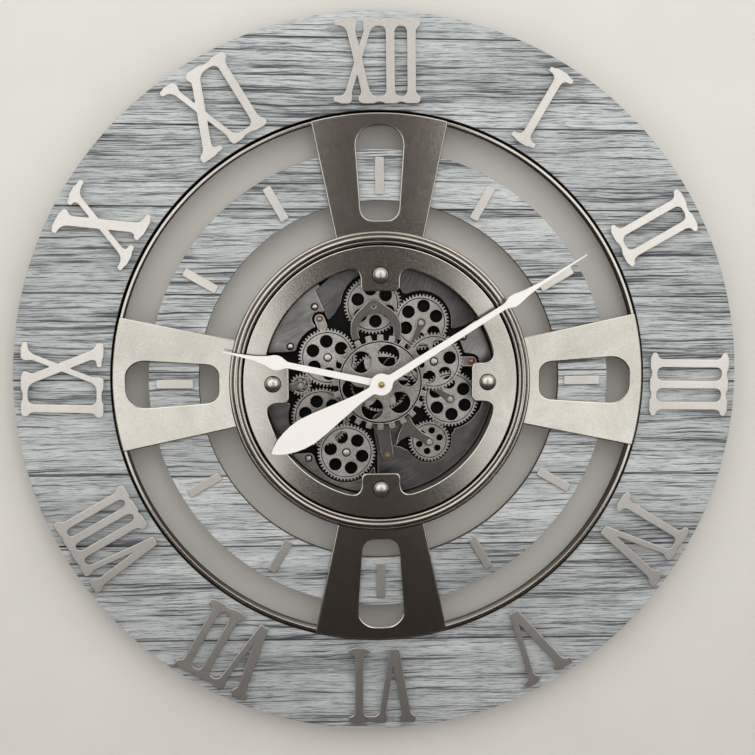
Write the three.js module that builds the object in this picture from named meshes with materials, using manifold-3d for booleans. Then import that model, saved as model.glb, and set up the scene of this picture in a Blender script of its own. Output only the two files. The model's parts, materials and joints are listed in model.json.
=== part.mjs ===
// Skeleton wall clock: wood-print rings, metal arms and a geared centre. Millimetres, +Z up.
// The wall is the plane y = 0 and the dial faces -Y, so a depth d in front of the wall is y = -d.
// The origin is on the hand axis, at the flat back cover. Angles on the dial run clockwise from 12.
import * as THREE from 'three';
import { mergeVertices } from 'three/addons/utils/BufferGeometryUtils.js';
import Module from 'manifold-3d';

const wasm = await Module();
wasm.setup();

// ---- Driving dimensions ----
const RING_SIDES = 60;          // facets on the large rings
const SMALL_SIDES = 12;         // facets on pins, tubes and small holes
const CLEAR = 0.3;              // gap left between pieces that touch

const DIAL_R = 400;             // outer wood ring
const DIAL_HOLE_R = 295.5;
const DIAL_BACK = 30.3;
const DIAL_THICK = 9;

const MID_OUTER_R = 253.5;      // middle wood ring
const MID_INNER_R = 199;
const MID_BACK = 33.8;
const MID_THICK = 8;
const BAR_R = 225;              // hour bars on the middle ring
const BAR_LONG = 40;
const BAR_WIDE = 9.4;
const BAR_THICK = 2.6;

const TRIM_IN = 288.5;          // rolled trim ring between the wood rings
const TRIM_OUT = 291.8;
const TRIM_FLANGE = 306;
const TRIM_BACK = 28;
const TRIM_FRONT = 44;

const ARM_BACK = 44.3;          // slotted arms over the trim ring
const ARM_THICK = 3;
const ARM_OUT_R = 292;
const ARM_IN_R = 151;
const ARM_OUT_HALF = 74;
const ARM_BEZEL_R = 165.5;
const ARM_BEZEL_HALF = 48;

const DRUM_R = 162;             // housing drum and its back cover
const DRUM_WALL = 2;
const DRUM_LIP_R = 140;
const COVER_THICK = 2;

const BEZEL_IN = 151;
const BEZEL_OUT = 165.5;
const BEZEL_BACK = 47.6;
const BEZEL_FRONT = 58;

const FACE_R = 150.4;           // front plate
const FACE_BACK = 52;
const FACE_THICK = 2;
const WINDOW_R = 128.5;
const TAB_REACH_R = 100.5;
const TAB_HALF = 21.5;
const STUD_R = 118;             // circle of the four cap nuts, and their studs and domes
const STUD_HALF = 2;
const STUD_HOLE_R = 2.6;
const NUT_R = 8.5;
const NUT_TALL = 6.5;

const WELL_IN = 129.5;          // deep-drawn gear well behind the window
const WELL_OUT = 131.5;
const WELL_FLANGE_R = 150;
const WELL_FRONT = 51.7;
const FLOOR_BACK = 21;
const FLOOR_FRONT = 24;

const MODULE = 1.25;            // fine gear teeth
const ARBOR_R = 2;
const ARBOR_HOLE_R = 2.5;
const ARBOR_BACK = 20;
const LEVEL_Z = [26.5, 2.5];    // back face depth and thickness of each gear level
const LEVEL_A = [31, 2.5];
const LEVEL_B = [36.5, 3];
const LEVEL_STRAP = [34.1, 1.8];
const LEVEL_ARCH = [41, 2];
const LEVEL_TOP = [44.5, 3.5];

const BUSH_R = 4;               // tubes and arbors at the hand axis
const BUSH_BORE_R = 3;
const HOUR_TUBE_R = 2.5;
const HOUR_BORE_R = 1.95;
const MINUTE_ARBOR_R = 1.5;
const BUSH_FRONT = 60;
const HOUR_BACK = 62;
const MINUTE_BACK = 66;
const HAND_THICK = 1.5;
const MINUTE_AT = 58.1;         // hands as shown, degrees clockwise from 12
const HOUR_AT = 282.1;

const NUMERAL_R = 345.5;        // centre of the numerals
const NUMERAL_TALL = 85;
const NUMERAL_BACK = 45.3;
const NUMERAL_THICK = 3;
const SERIF = 6.8;
const PEG_R = 2.5;

const CASE_HALF = 28;           // quartz movement behind the well floor
const CASE_BACK = 3.8;
const CASE_FRONT = 19.4;

// ---- Finishes ----
const finish = (color, roughness, metalness) => ({ color, roughness, metalness });
const WOOD = finish(0x9aa3a6, 0.75, 0.0);
const PEWTER = finish(0x8f8a80, 0.35, 0.9);
const DARK_METAL = finish(0x4a4744, 0.5, 0.8);
const GEAR_STEEL = finish(0x8b8a88, 0.4, 0.9);
const SILVER = finish(0xc9c6c0, 0.45, 0.7);
const WHITE = finish(0xf1f1ec, 0.5, 0.1);
const BRASS = finish(0xb9924e, 0.35, 0.9);
const BLACK = finish(0x1b1b1c, 0.6, 0.0);
const BACK_PAINT = finish(0x2a2a2b, 0.6, 0.2);

const clock = new THREE.Group();

// ---- Solid helpers ----
function solidOf(geometry) {
  const bare = geometry.clone();
  bare.deleteAttribute('normal');
  bare.deleteAttribute('uv');
  const merged = mergeVertices(bare, 1e-4);
  const points = merged.attributes.position;
  const index = merged.index.array;
  const a = new THREE.Vector3();
  const b = new THREE.Vector3();
  const c = new THREE.Vector3();
  const kept = [];
  let volume = 0;
  for (let i = 0; i < index.length; i += 3) {
    const [p, q, r] = [index[i], index[i + 1], index[i + 2]];
    if (p === q || q === r || r === p) continue;
    a.fromBufferAttribute(points, p);
    b.fromBufferAttribute(points, q);
    c.fromBufferAttribute(points, r);
    volume += a.dot(b.cross(c));
    kept.push(p, q, r);
  }
  if (volume < 0) kept.reverse();
  return new wasm.Manifold(new wasm.Mesh({
    numProp: 3,
    vertProperties: new Float32Array(points.array),
    triVerts: new Uint32Array(kept),
  }));
}

const join = (...geometries) => geometries.map(solidOf).reduce((sum, next) => sum.add(next));
const cut = (solid, ...tools) => tools.map(solidOf).reduce((rest, tool) => rest.subtract(tool), solid);

function addPart(name, solid, look, place = {}) {
  const mesh = solid.getMesh();
  const indexed = new THREE.BufferGeometry();
  indexed.setAttribute('position', new THREE.BufferAttribute(mesh.vertProperties, 3));
  indexed.setIndex(new THREE.BufferAttribute(mesh.triVerts, 1));
  const flat = indexed.toNonIndexed();
  flat.computeVertexNormals();
  const part = new THREE.Mesh(flat, new THREE.MeshStandardMaterial(look));
  part.name = name;
  part.position.set(place.x ?? 0, 0, place.z ?? 0);
  part.rotation.y = place.turn ?? 0;
  clock.add(part);
}

// A flat plate: the shape's X and Y become X and Z, and it runs from depth `back` towards the front.
function plate(shape, back, thick, segments = 6) {
  const options = { depth: thick, bevelEnabled: false, curveSegments: segments };
  return new THREE.ExtrudeGeometry(shape, options).rotateX(Math.PI / 2).translate(0, -back, 0);
}

// A turned piece about the depth axis. The profile is a closed run of [radius, depth] points.
function turned(profile, sides = SMALL_SIDES) {
  const points = profile.map(([radius, depth]) => new THREE.Vector2(radius, depth));
  return new THREE.LatheGeometry(points, sides).rotateX(Math.PI);
}

const rod = (radius, back, front, sides = SMALL_SIDES) =>
  turned([[0, back], [radius, back], [radius, front], [0, front]], sides);

const tube = (inner, outer, back, front, sides = SMALL_SIDES) =>
  turned([[inner, back], [outer, back], [outer, front], [inner, front], [inner, back]], sides);

const rodAt = (x, z, radius, back, front, sides) => rod(radius, back, front, sides).translate(x, 0, z);

function boxSolid(x0, x1, z0, z1, back, front) {
  const box = new THREE.BoxGeometry(x1 - x0, front - back, z1 - z0);
  return box.translate((x0 + x1) / 2, -(back + front) / 2, (z0 + z1) / 2);
}

const outline = (points) => new THREE.Shape(points.map(([x, y]) => new THREE.Vector2(x, y)));
const degrees = THREE.MathUtils.degToRad;
const polar = (radius, angle) => [radius * Math.cos(angle), radius * Math.sin(angle)];

function arcPoints(cx, cy, radius, from, to, steps) {
  return Array.from({ length: steps + 1 }, (_, i) => {
    const [x, y] = polar(radius, from + (to - from) * i / steps);
    return [cx + x, cy + y];
  });
}

// Rounds each corner of a polygon. A corner is [x, y, radius].
function rounded(corners, steps = 4) {
  const points = [];
  corners.forEach(([x, y, radius], i) => {
    const before = corners.at(i - 1);
    const after = corners[(i + 1) % corners.length];
    if (!radius) {
      points.push([x, y]);
      return;
    }
    const here = new THREE.Vector2(x, y);
    const back = new THREE.Vector2(before[0], before[1]).sub(here).normalize();
    const ahead = new THREE.Vector2(after[0], after[1]).sub(here).normalize();
    const half = Math.acos(THREE.MathUtils.clamp(back.dot(ahead), -1, 1)) / 2;
    const reach = radius / Math.tan(half);
    const middle = back.clone().add(ahead).normalize().multiplyScalar(radius / Math.sin(half)).add(here);
    const start = here.clone().addScaledVector(back, reach).sub(middle);
    const end = here.clone().addScaledVector(ahead, reach).sub(middle);
    const from = start.angle();
    let sweep = end.angle() - from;
    if (sweep > Math.PI) sweep -= 2 * Math.PI;
    if (sweep < -Math.PI) sweep += 2 * Math.PI;
    points.push(...arcPoints(middle.x, middle.y, radius, from, from + sweep, steps));
  });
  return points;
}

// ---- Wood-print rings ----
function ringPlate(inner, outer, back, thick) {
  return tube(inner, outer, back, back + thick, RING_SIDES);
}

addPart('outer_wood_ring', solidOf(ringPlate(DIAL_HOLE_R, DIAL_R, DIAL_BACK, DIAL_THICK)), WOOD);

function middleRing() {
  const front = MID_BACK + MID_THICK;
  const pieces = [ringPlate(MID_INNER_R, MID_OUTER_R, MID_BACK, MID_THICK)];
  for (let hour = 0; hour < 12; hour += 1) {
    const low = BAR_R - BAR_LONG / 2;
    const bar = boxSolid(-BAR_WIDE / 2, BAR_WIDE / 2, low, low + BAR_LONG, front - 0.5, front + BAR_THICK);
    pieces.push(bar.rotateY(degrees(30 * hour)));
  }
  return join(...pieces);
}

addPart('middle_wood_ring', middleRing(), WOOD);

// ---- Trim ring, arms and bezel ----
addPart('trim_ring', solidOf(turned([
  [TRIM_IN, TRIM_BACK],
  [TRIM_FLANGE, TRIM_BACK],
  [TRIM_FLANGE, TRIM_BACK + 2],
  [TRIM_OUT, TRIM_BACK + 2],
  [TRIM_OUT, TRIM_FRONT],
  [TRIM_IN, TRIM_FRONT],
  [TRIM_IN, TRIM_BACK],
], RING_SIDES)), PEWTER);

function armShape() {
  const taper = (ARM_OUT_HALF - ARM_BEZEL_HALF)
    / (Math.sqrt(ARM_OUT_R ** 2 - ARM_OUT_HALF ** 2) - Math.sqrt(ARM_BEZEL_R ** 2 - ARM_BEZEL_HALF ** 2));
  const innerHalf = ARM_BEZEL_HALF - taper * (ARM_BEZEL_R - ARM_IN_R);
  const outAngle = Math.asin(ARM_OUT_HALF / ARM_OUT_R);
  const inAngle = Math.asin(innerHalf / ARM_IN_R);
  const up = Math.PI / 2;
  const shape = outline([
    ...arcPoints(0, 0, ARM_OUT_R, up - outAngle, up + outAngle, 8),
    ...arcPoints(0, 0, ARM_IN_R, up + inAngle, up - inAngle, 5),
  ]);
  const slot = [[20, 177, 13], [27, 278, 20], [-27, 278, 20], [-20, 177, 13]];
  shape.holes.push(outline(rounded(slot)));
  return shape;
}

['top', 'right', 'bottom', 'left'].forEach((side, i) => {
  const turn = i * Math.PI / 2;
  addPart(`arm_${side}`, solidOf(plate(armShape(), ARM_BACK, ARM_THICK)), PEWTER, { turn });
});

addPart('bezel', solidOf(turned([
  [BEZEL_IN, BEZEL_BACK],
  [BEZEL_OUT, BEZEL_BACK],
  [BEZEL_OUT, BEZEL_BACK + 3],
  [BEZEL_OUT - 3, BEZEL_FRONT - 3],
  [BEZEL_OUT - 8, BEZEL_FRONT],
  [BEZEL_IN + 1.5, BEZEL_FRONT - 2],
  [BEZEL_IN, BEZEL_FRONT - 4.5],
  [BEZEL_IN, BEZEL_BACK],
], RING_SIDES)), PEWTER);

// ---- Front plate: a ring with four tabs reaching into the window ----
function facePlate() {
  const quarter = (turn) => {
    const edge = Math.asin((TAB_HALF + 9) / WINDOW_R);
    const turnPoint = ([x, y]) => [
      x * Math.cos(turn) - y * Math.sin(turn),
      x * Math.sin(turn) + y * Math.cos(turn),
    ];
    const arc = arcPoints(0, 0, WINDOW_R, edge, Math.PI / 2 - edge, 7);
    const root = WINDOW_R - 7;
    const tab = rounded([
      [...polar(WINDOW_R, Math.PI / 2 - edge), 0],
      [TAB_HALF + 1, root, 6],
      [TAB_HALF, TAB_REACH_R, 5.5],
      [-TAB_HALF, TAB_REACH_R, 5.5],
      [-TAB_HALF - 1, root, 6],
      [...polar(WINDOW_R, Math.PI / 2 + edge), 0],
    ], 3);
    return [...arc.slice(1, -1), ...tab].map(turnPoint);
  };
  const shape = outline(arcPoints(0, 0, FACE_R, 0, 2 * Math.PI, RING_SIDES).slice(0, -1));
  shape.holes.push(outline([0, 1, 2, 3].flatMap((i) => quarter(i * Math.PI / 2))));
  for (let i = 0; i < 4; i += 1) {
    const [x, y] = polar(STUD_R, i * Math.PI / 2);
    shape.holes.push(outline(arcPoints(x, y, STUD_HOLE_R, 0, 2 * Math.PI, 10).slice(0, -1)));
  }
  return solidOf(plate(shape, FACE_BACK, FACE_THICK));
}

addPart('front_plate', facePlate(), PEWTER);

function capNut() {
  const base = FACE_BACK + FACE_THICK + CLEAR;
  const dome = turned([
    [0, base],
    [NUT_R, base],
    [NUT_R - 0.3, base + 2.2],
    [NUT_R - 2.3, base + 4.8],
    [NUT_R - 5.5, base + 6.2],
    [0, base + NUT_TALL],
  ]);
  return join(dome, rod(STUD_HALF, FLOOR_FRONT + CLEAR, base + 1, 8));
}

['top', 'right', 'bottom', 'left'].forEach((side, i) => {
  const angle = i * Math.PI / 2;
  const place = { x: STUD_R * Math.sin(angle), z: STUD_R * Math.cos(angle) };
  addPart(`cap_nut_${side}`, capNut(), SILVER, place);
});

// ---- Housing: drum, back cover, hanger ----
addPart('housing_drum', solidOf(turned([
  [DRUM_R - DRUM_WALL, COVER_THICK + CLEAR],
  [DRUM_R, COVER_THICK + CLEAR],
  [DRUM_R, ARM_BACK - CLEAR],
  [DRUM_LIP_R, ARM_BACK - CLEAR],
  [DRUM_LIP_R, ARM_BACK - CLEAR - DRUM_WALL],
  [DRUM_R - DRUM_WALL, ARM_BACK - CLEAR - DRUM_WALL],
  [DRUM_R - DRUM_WALL, COVER_THICK + CLEAR],
], RING_SIDES)), BACK_PAINT);

const BAY = { x0: -112, x1: -44, z0: -31, z1: 31 };        // battery box, outside
const DOOR = { x0: -108.4, x1: -47.6, z0: -27.4, z1: 27.4 };
const DOOR_GAP = 0.6;
const KNOB = { x: 18, z: -16, hole: 10.5, r: 8.5 };
const SWITCH = { x: 52, z: 40, travel: 5, back: COVER_THICK + CLEAR };
const HANGER_Z = 118;

function keyhole(x, z, headR, slotHalf, rise) {
  const neck = Math.asin(slotHalf / headR);
  return outline([
    ...arcPoints(x, z, headR, degrees(90) + neck, degrees(450) - neck, 12),
    ...arcPoints(x, z + rise, slotHalf, 0, Math.PI, 4),
  ]);
}

function backCover() {
  const shape = outline(arcPoints(0, 0, DRUM_R, 0, 2 * Math.PI, RING_SIDES).slice(0, -1));
  shape.holes.push(outline([
    [DOOR.x0 - DOOR_GAP, DOOR.z0 - DOOR_GAP],
    [DOOR.x1 + DOOR_GAP, DOOR.z0 - DOOR_GAP],
    [DOOR.x1 + DOOR_GAP, DOOR.z1 + DOOR_GAP],
    [DOOR.x0 - DOOR_GAP, DOOR.z1 + DOOR_GAP],
  ]));
  shape.holes.push(outline(arcPoints(KNOB.x, KNOB.z, KNOB.hole, 0, 2 * Math.PI, 20).slice(0, -1)));
  shape.holes.push(outline([
    [SWITCH.x - 6, SWITCH.z - 3],
    [SWITCH.x + 6, SWITCH.z - 3],
    [SWITCH.x + 6, SWITCH.z + 3],
    [SWITCH.x - 6, SWITCH.z + 3],
  ]));
  shape.holes.push(keyhole(0, HANGER_Z, 9, 6, 16));
  return solidOf(plate(shape, 0, COVER_THICK));
}

addPart('back_cover', backCover(), BACK_PAINT);

function hangerPlate() {
  const [half, low, high, corner] = [22, HANGER_Z - 18, HANGER_Z + 28, 4];
  const shape = outline(rounded([
    [-half, low, corner],
    [half, low, corner],
    [half, high, corner],
    [-half, high, corner],
  ]));
  shape.holes.push(keyhole(0, HANGER_Z, 5.5, 2.6, 14));
  return solidOf(plate(shape, COVER_THICK + CLEAR, 2));
}

addPart('hanger_plate', hangerPlate(), SILVER);

// ---- Gear well with its floor, bored for the arbors ----
const wheelAt = {};             // centre and tooth phase of every toothed piece

// Sets a wheel's centre at `aim` degrees from its driver, turned so that its teeth fall in the gaps.
function meshWith(name, teeth, driver, driverTeeth, aim) {
  const from = wheelAt[driver];
  const distance = MODULE * (teeth + driverTeeth) / 2;
  const angle = degrees(aim);
  const [dx, dz] = polar(distance, angle);
  const turnsIn = driverTeeth * (angle - from.phase) / (2 * Math.PI);
  const phase = angle + Math.PI - 2 * Math.PI * (0.5 - turnsIn) / teeth;
  wheelAt[name] = { x: from.x + dx, z: from.z + dz, phase, teeth };
}

const TEETH = { centre: 52, large: 50, upper: 48, right: 49, small: 36, left: 51, idler: 18 };
const PINION = { upperRight: 25, top: 40, lowerLeft: 26 };
wheelAt.centre = { x: 0, z: 0, phase: 0, teeth: TEETH.centre };
meshWith('upper_left', TEETH.large, 'centre', TEETH.centre, 154.7);
meshWith('upper_right', TEETH.large, 'centre', TEETH.centre, 20);
meshWith('idler', TEETH.idler, 'upper_left', TEETH.large, -135);
meshWith('left', TEETH.left, 'idler', TEETH.idler, -58.9);
meshWith('lower_left', PINION.lowerLeft, 'left', TEETH.left, -55);
meshWith('right', TEETH.right, 'upper_right', PINION.upperRight, -65.8);
meshWith('small', TEETH.small, 'right', TEETH.right, -115.9);
meshWith('top_right', TEETH.upper, 'upper_right', PINION.upperRight, 107.6);
meshWith('top', TEETH.large, 'top_right', PINION.top, 160.5);

function gearWell() {
  const pan = turned([
    [0, FLOOR_BACK],
    [WELL_OUT, FLOOR_BACK],
    [WELL_OUT, WELL_FRONT - 2],
    [WELL_FLANGE_R, WELL_FRONT - 2],
    [WELL_FLANGE_R, WELL_FRONT],
    [WELL_IN, WELL_FRONT],
    [WELL_IN, FLOOR_FRONT],
    [0, FLOOR_FRONT],
  ], RING_SIDES);
  const bores = Object.entries(wheelAt).map(([name, at]) =>
    rodAt(at.x, at.z, name === 'centre' ? BUSH_R + 0.4 : ARBOR_HOLE_R, FLOOR_BACK - 1, FLOOR_FRONT + 1));
  return cut(solidOf(pan), ...bores);
}

addPart('gear_well', gearWell(), DARK_METAL);

// ---- Toothed wheels ----
function toothedShape(teeth) {
  const pitchR = MODULE * teeth / 2;
  const step = 2 * Math.PI / teeth;
  const points = [];
  for (let i = 0; i < teeth; i += 1) {
    const middle = i * step;
    points.push(polar(pitchR - 1.5 * MODULE, middle - 0.5 * step));
    points.push(polar(pitchR + 0.85 * MODULE, middle - 0.08 * step));
    points.push(polar(pitchR + 0.85 * MODULE, middle + 0.08 * step));
  }
  return outline(points);
}

function roundHoles(shape, count, holeR, circleR, startDeg = 0, sides = 8) {
  for (let i = 0; i < count; i += 1) {
    const [x, y] = polar(circleR, degrees(startDeg) + 2 * Math.PI * i / count);
    shape.holes.push(outline(arcPoints(x, y, holeR, 0, 2 * Math.PI, sides).slice(0, -1)));
  }
  return shape;
}

const disc = (teeth, level) => plate(toothedShape(teeth), ...level);

function wheelSolid(teeth, level, { holeR = 7.2, circleR = 18, arborBack = ARBOR_BACK } = {}) {
  const wheel = plate(roundHoles(toothedShape(teeth), 6, holeR, circleR, 15), ...level);
  return join(wheel, rod(ARBOR_R, arborBack, level[0] + level[1] + 1.2));
}

// A pinion shares the turn of the wheel it is fixed to.
const placeOf = (name) => ({ x: wheelAt[name].x, z: wheelAt[name].z, turn: -wheelAt[name].phase });

addPart('wheel_upper_left', wheelSolid(TEETH.large, LEVEL_B), GEAR_STEEL, placeOf('upper_left'));
addPart('wheel_upper_right', (() => {
  const pinion = disc(PINION.upperRight, [LEVEL_A[0], LEVEL_B[0] - LEVEL_A[0] + 0.5]);
  return wheelSolid(TEETH.large, LEVEL_B).add(solidOf(pinion));
})(), GEAR_STEEL, placeOf('upper_right'));
addPart('wheel_left', wheelSolid(TEETH.left, LEVEL_A), GEAR_STEEL, placeOf('left'));
addPart('wheel_lower_left', (() => {
  const pinion = disc(PINION.lowerLeft, [LEVEL_A[0], LEVEL_B[0] - LEVEL_A[0] + 0.5]);
  return wheelSolid(TEETH.large, LEVEL_B).add(solidOf(pinion));
})(), GEAR_STEEL, placeOf('lower_left'));
addPart('wheel_right', wheelSolid(TEETH.right, LEVEL_A), GEAR_STEEL, placeOf('right'));
addPart('wheel_small', wheelSolid(TEETH.small, LEVEL_A, { holeR: 3.8, circleR: 12, arborBack: 18.3 }),
  GEAR_STEEL, placeOf('small'));
addPart('wheel_top_right', (() => {
  const pinion = disc(PINION.top, [LEVEL_Z[0], LEVEL_A[0] - LEVEL_Z[0] + 0.5]);
  return wheelSolid(TEETH.upper, LEVEL_A).add(solidOf(pinion));
})(), GEAR_STEEL, placeOf('top_right'));
addPart('wheel_top', wheelSolid(TEETH.large, LEVEL_Z), GEAR_STEEL, placeOf('top'));
addPart('idler_pinion', join(
  disc(TEETH.idler, [LEVEL_A[0], LEVEL_B[0] + LEVEL_B[1] - LEVEL_A[0]]),
  rod(ARBOR_R, ARBOR_BACK, LEVEL_B[0] + LEVEL_B[1] + 1.2),
), GEAR_STEEL, placeOf('idler'));

function centreFineWheel() {
  const wheel = plate(roundHoles(toothedShape(TEETH.centre), 5, 6, 19, 0), ...LEVEL_B);
  const sleeve = rod(7, LEVEL_B[0], LEVEL_TOP[0] - CLEAR);
  return cut(join(wheel, sleeve), rod(BUSH_R + 0.6, LEVEL_B[0] - 1, LEVEL_TOP[0] + 1));
}

addPart('centre_fine_wheel', centreFineWheel(), GEAR_STEEL, placeOf('centre'));

function centreCoarseWheel() {
  const count = 24;
  const rootR = 46.4;
  const tipR = 52.8;
  const step = 2 * Math.PI / count;
  const points = [];
  for (let i = 0; i < count; i += 1) {
    const middle = i * step;
    points.push(polar(rootR, middle - 0.27 * step));
    points.push(polar(tipR, middle - 0.22 * step));
    points.push(polar(tipR, middle + 0.22 * step));
    points.push(polar(rootR, middle + 0.27 * step));
  }
  const shape = roundHoles(outline(points), 6, 12, 30.8, 13, 12);
  shape.holes.push(outline(arcPoints(0, 0, BUSH_R + 0.6, 0, 2 * Math.PI, SMALL_SIDES).slice(0, -1)));
  return solidOf(plate(shape, ...LEVEL_TOP));
}

addPart('centre_coarse_wheel', centreCoarseWheel(), GEAR_STEEL);

// ---- Bridges: a plate on posts that stand on the well floor, bored for the arbor it steadies ----
function bridge(shape, [back, thick], posts, bores, proud = 0) {
  const feet = posts.map(([x, z]) => rodAt(x, z, 2.2, FLOOR_FRONT + CLEAR, back + thick + proud, 8));
  const holes = bores.map(([x, z]) => rodAt(x, z, ARBOR_HOLE_R, back - 1, back + thick + 1));
  return cut(join(plate(shape, back, thick), ...feet), ...holes);
}

// A band of constant width with round ends, along a curve through the given points.
function band(points, half, steps = 8) {
  const curve = new THREE.CatmullRomCurve3(points.map(([x, y]) => new THREE.Vector3(x, y, 0)));
  const along = Array.from({ length: steps + 1 }, (_, i) => curve.getPoint(i / steps));
  const side = (sign) => along.map((point, i) => {
    const heading = curve.getTangent(i / steps);
    return [point.x - sign * half * heading.y, point.y + sign * half * heading.x];
  });
  const cap = (end, heading) => {
    const angle = Math.atan2(heading.y, heading.x);
    return arcPoints(end.x, end.y, half, angle - Math.PI / 2, angle + Math.PI / 2, 5).slice(1, -1);
  };
  const right = side(-1);
  const left = side(1).reverse();
  const endCap = cap(along.at(-1), curve.getTangent(1));
  const startCap = cap(along[0], curve.getTangent(0).negate());
  return outline([...right, ...endCap, ...left, ...startCap]);
}

const centreOf = (name) => [wheelAt[name].x, wheelAt[name].z];

function archBridge() {
  const [x, z] = centreOf('top');
  const [midX, midZ] = [-4.5, 58];
  const leg = (radius, from, to, steps) => arcPoints(midX, midZ, radius, degrees(from), degrees(to), steps);
  const apex = arcPoints(x, z, 5.5, degrees(160), degrees(20), 5);
  const shape = outline([
    ...leg(28, 222, 120, 7),
    ...apex,
    ...leg(28, 60, -42, 7),
    ...leg(20, -42, 222, 12),
  ]);
  const posts = [222, -42].map((angle) => {
    const [dx, dz] = polar(24, degrees(angle));
    return [midX + dx * 0.98, midZ + dz * 0.9];
  });
  return bridge(shape, LEVEL_ARCH, posts, [[x, z]]);
}

addPart('arch_bridge', archBridge(), GEAR_STEEL);

// Each strap runs from the arbor it steadies to its foot on the floor.
const STRAPS = {
  bridge_top_right: { arbor: 'top_right', path: [[33.5, 33]], level: LEVEL_STRAP, half: 4.6, proud: 0 },
  bridge_right: { arbor: 'right', path: [[50, -1]], level: LEVEL_STRAP, half: 4.4, proud: 0 },
  bridge_idler: { arbor: 'idler', path: [[-106, -6]], level: LEVEL_ARCH, half: 4.6, proud: 1 },
  bridge_small: { arbor: 'small', path: [[40, -59], [30, -40]], level: LEVEL_STRAP, half: 4, proud: 1 },
};

Object.entries(STRAPS).forEach(([name, { arbor, path, level, half, proud }]) => {
  const route = [centreOf(arbor), ...path];
  const shape = band(route, half, path.length > 1 ? 8 : 1);
  addPart(name, bridge(shape, level, [path.at(-1)], [centreOf(arbor)], proud), GEAR_STEEL);
});

const LOWER_STRAP = [[3, -46], [8.4, -83]];
addPart('lower_strap', bridge(band(LOWER_STRAP, 7.2, 1), LEVEL_STRAP, LOWER_STRAP, [], 1), GEAR_STEEL);

// ---- Movement, motor and battery box behind the well ----
const movementCase = join(
  boxSolid(-CASE_HALF, CASE_HALF, -CASE_HALF, CASE_HALF, CASE_BACK, CASE_FRONT),
  rod(BUSH_R, CASE_FRONT - 1, BUSH_FRONT),
);
const bushBore = rod(BUSH_BORE_R, CASE_FRONT + 0.2, BUSH_FRONT + 1);
addPart('movement_case', cut(movementCase, bushBore), BLACK);
addPart('bush_nut', solidOf(tube(BUSH_R + 0.7, 8, FLOOR_FRONT + CLEAR, FLOOR_FRONT + 3, 6)), BRASS);
addPart('set_knob', solidOf(rodAt(KNOB.x, KNOB.z, KNOB.r, 0.4, CASE_BACK - CLEAR, 20)), BLACK);

const [motorX, motorZ] = centreOf('small');
addPart('gear_motor', solidOf(rodAt(motorX, motorZ, 12.5, COVER_THICK + CLEAR, 18, 20)), SILVER);

function batteryBox() {
  const wall = 2;
  const back = COVER_THICK + CLEAR;
  const shell = solidOf(boxSolid(BAY.x0, BAY.x1, BAY.z0, BAY.z1, back, CASE_FRONT));
  const hollow = [BAY.x0 + wall, BAY.x1 - wall, BAY.z0 + wall, BAY.z1 - wall];
  return cut(shell, boxSolid(...hollow, back - 1, CASE_FRONT - wall));
}

addPart('battery_box', batteryBox(), BLACK);

function batteryDoor() {
  const middle = 1;
  const edgeR = 0.8;
  const long = DOOR.x1 - DOOR.x0;
  const leaf = boxSolid(DOOR.x0, DOOR.x1, DOOR.z0 + edgeR, DOOR.z1, middle - edgeR, middle + edgeR);
  const knuckle = new THREE.CylinderGeometry(edgeR, edgeR, long, 8).rotateZ(Math.PI / 2);
  knuckle.translate((DOOR.x0 + DOOR.x1) / 2, -middle, DOOR.z0 + edgeR);
  return join(leaf, knuckle);
}

addPart('battery_door', batteryDoor(), BLACK);

const SWITCH_REST = SWITCH.x - SWITCH.travel / 2;
addPart('power_switch', join(
  boxSolid(SWITCH_REST - 2.5, SWITCH_REST + 2.5, SWITCH.z - 2.6, SWITCH.z + 2.6, 0.3, COVER_THICK + 1),
  boxSolid(SWITCH_REST - 6, SWITCH_REST + 6, SWITCH.z - 5, SWITCH.z + 5, SWITCH.back, SWITCH.back + 2),
), BLACK);

// ---- Hands ----
function turnShape(points, angle) {
  const [c, s] = [Math.cos(angle), Math.sin(angle)];
  return outline(points.map(([x, y]) => [x * c + y * s, -x * s + y * c]));
}

function mirroredBlade(half) {
  return [...half, ...half.map(([x, y]) => [-x, y]).reverse()];
}

function minuteHand() {
  const blade = mirroredBlade([[4.2, 8], [3.1, 158], [6.6, 166], [6.2, 172], [1.7, 205], [0.5, 264]]);
  const tail = mirroredBlade([[3.8, -8], [4.6, -30], [13, -82], [15.4, -104], [12, -118], [0.4, -141]]);
  const angle = degrees(MINUTE_AT);
  return join(
    plate(turnShape(blade, angle), MINUTE_BACK, HAND_THICK),
    plate(turnShape(tail, angle), MINUTE_BACK, HAND_THICK),
    rod(12, MINUTE_BACK, MINUTE_BACK + HAND_THICK, 24),
    rod(MINUTE_ARBOR_R, CASE_FRONT + 0.6, MINUTE_BACK + 1),
  );
}

function hourHand() {
  const blade = mirroredBlade([[3.6, 8], [3.4, 106], [8, 114], [7.6, 121], [2.2, 138], [0.5, 176]]);
  const solid = join(
    plate(turnShape(blade, degrees(HOUR_AT)), HOUR_BACK, HAND_THICK),
    rod(10.5, HOUR_BACK, HOUR_BACK + HAND_THICK, 24),
    rod(HOUR_TUBE_R, CASE_FRONT + 0.8, HOUR_BACK + 1),
  );
  return cut(solid, rod(HOUR_BORE_R, CASE_FRONT, HOUR_BACK + 3));
}

addPart('minute_hand', minuteHand(), WHITE);
addPart('hour_hand', hourHand(), WHITE);
const NUT_BACK = MINUTE_BACK + HAND_THICK + CLEAR;
addPart('hand_nut', solidOf(turned([
  [0, NUT_BACK],
  [2.8, NUT_BACK],
  [2.8, NUT_BACK + 2.6],
  [1.4, NUT_BACK + 4],
  [0, NUT_BACK + 4],
])), BRASS);

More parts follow.
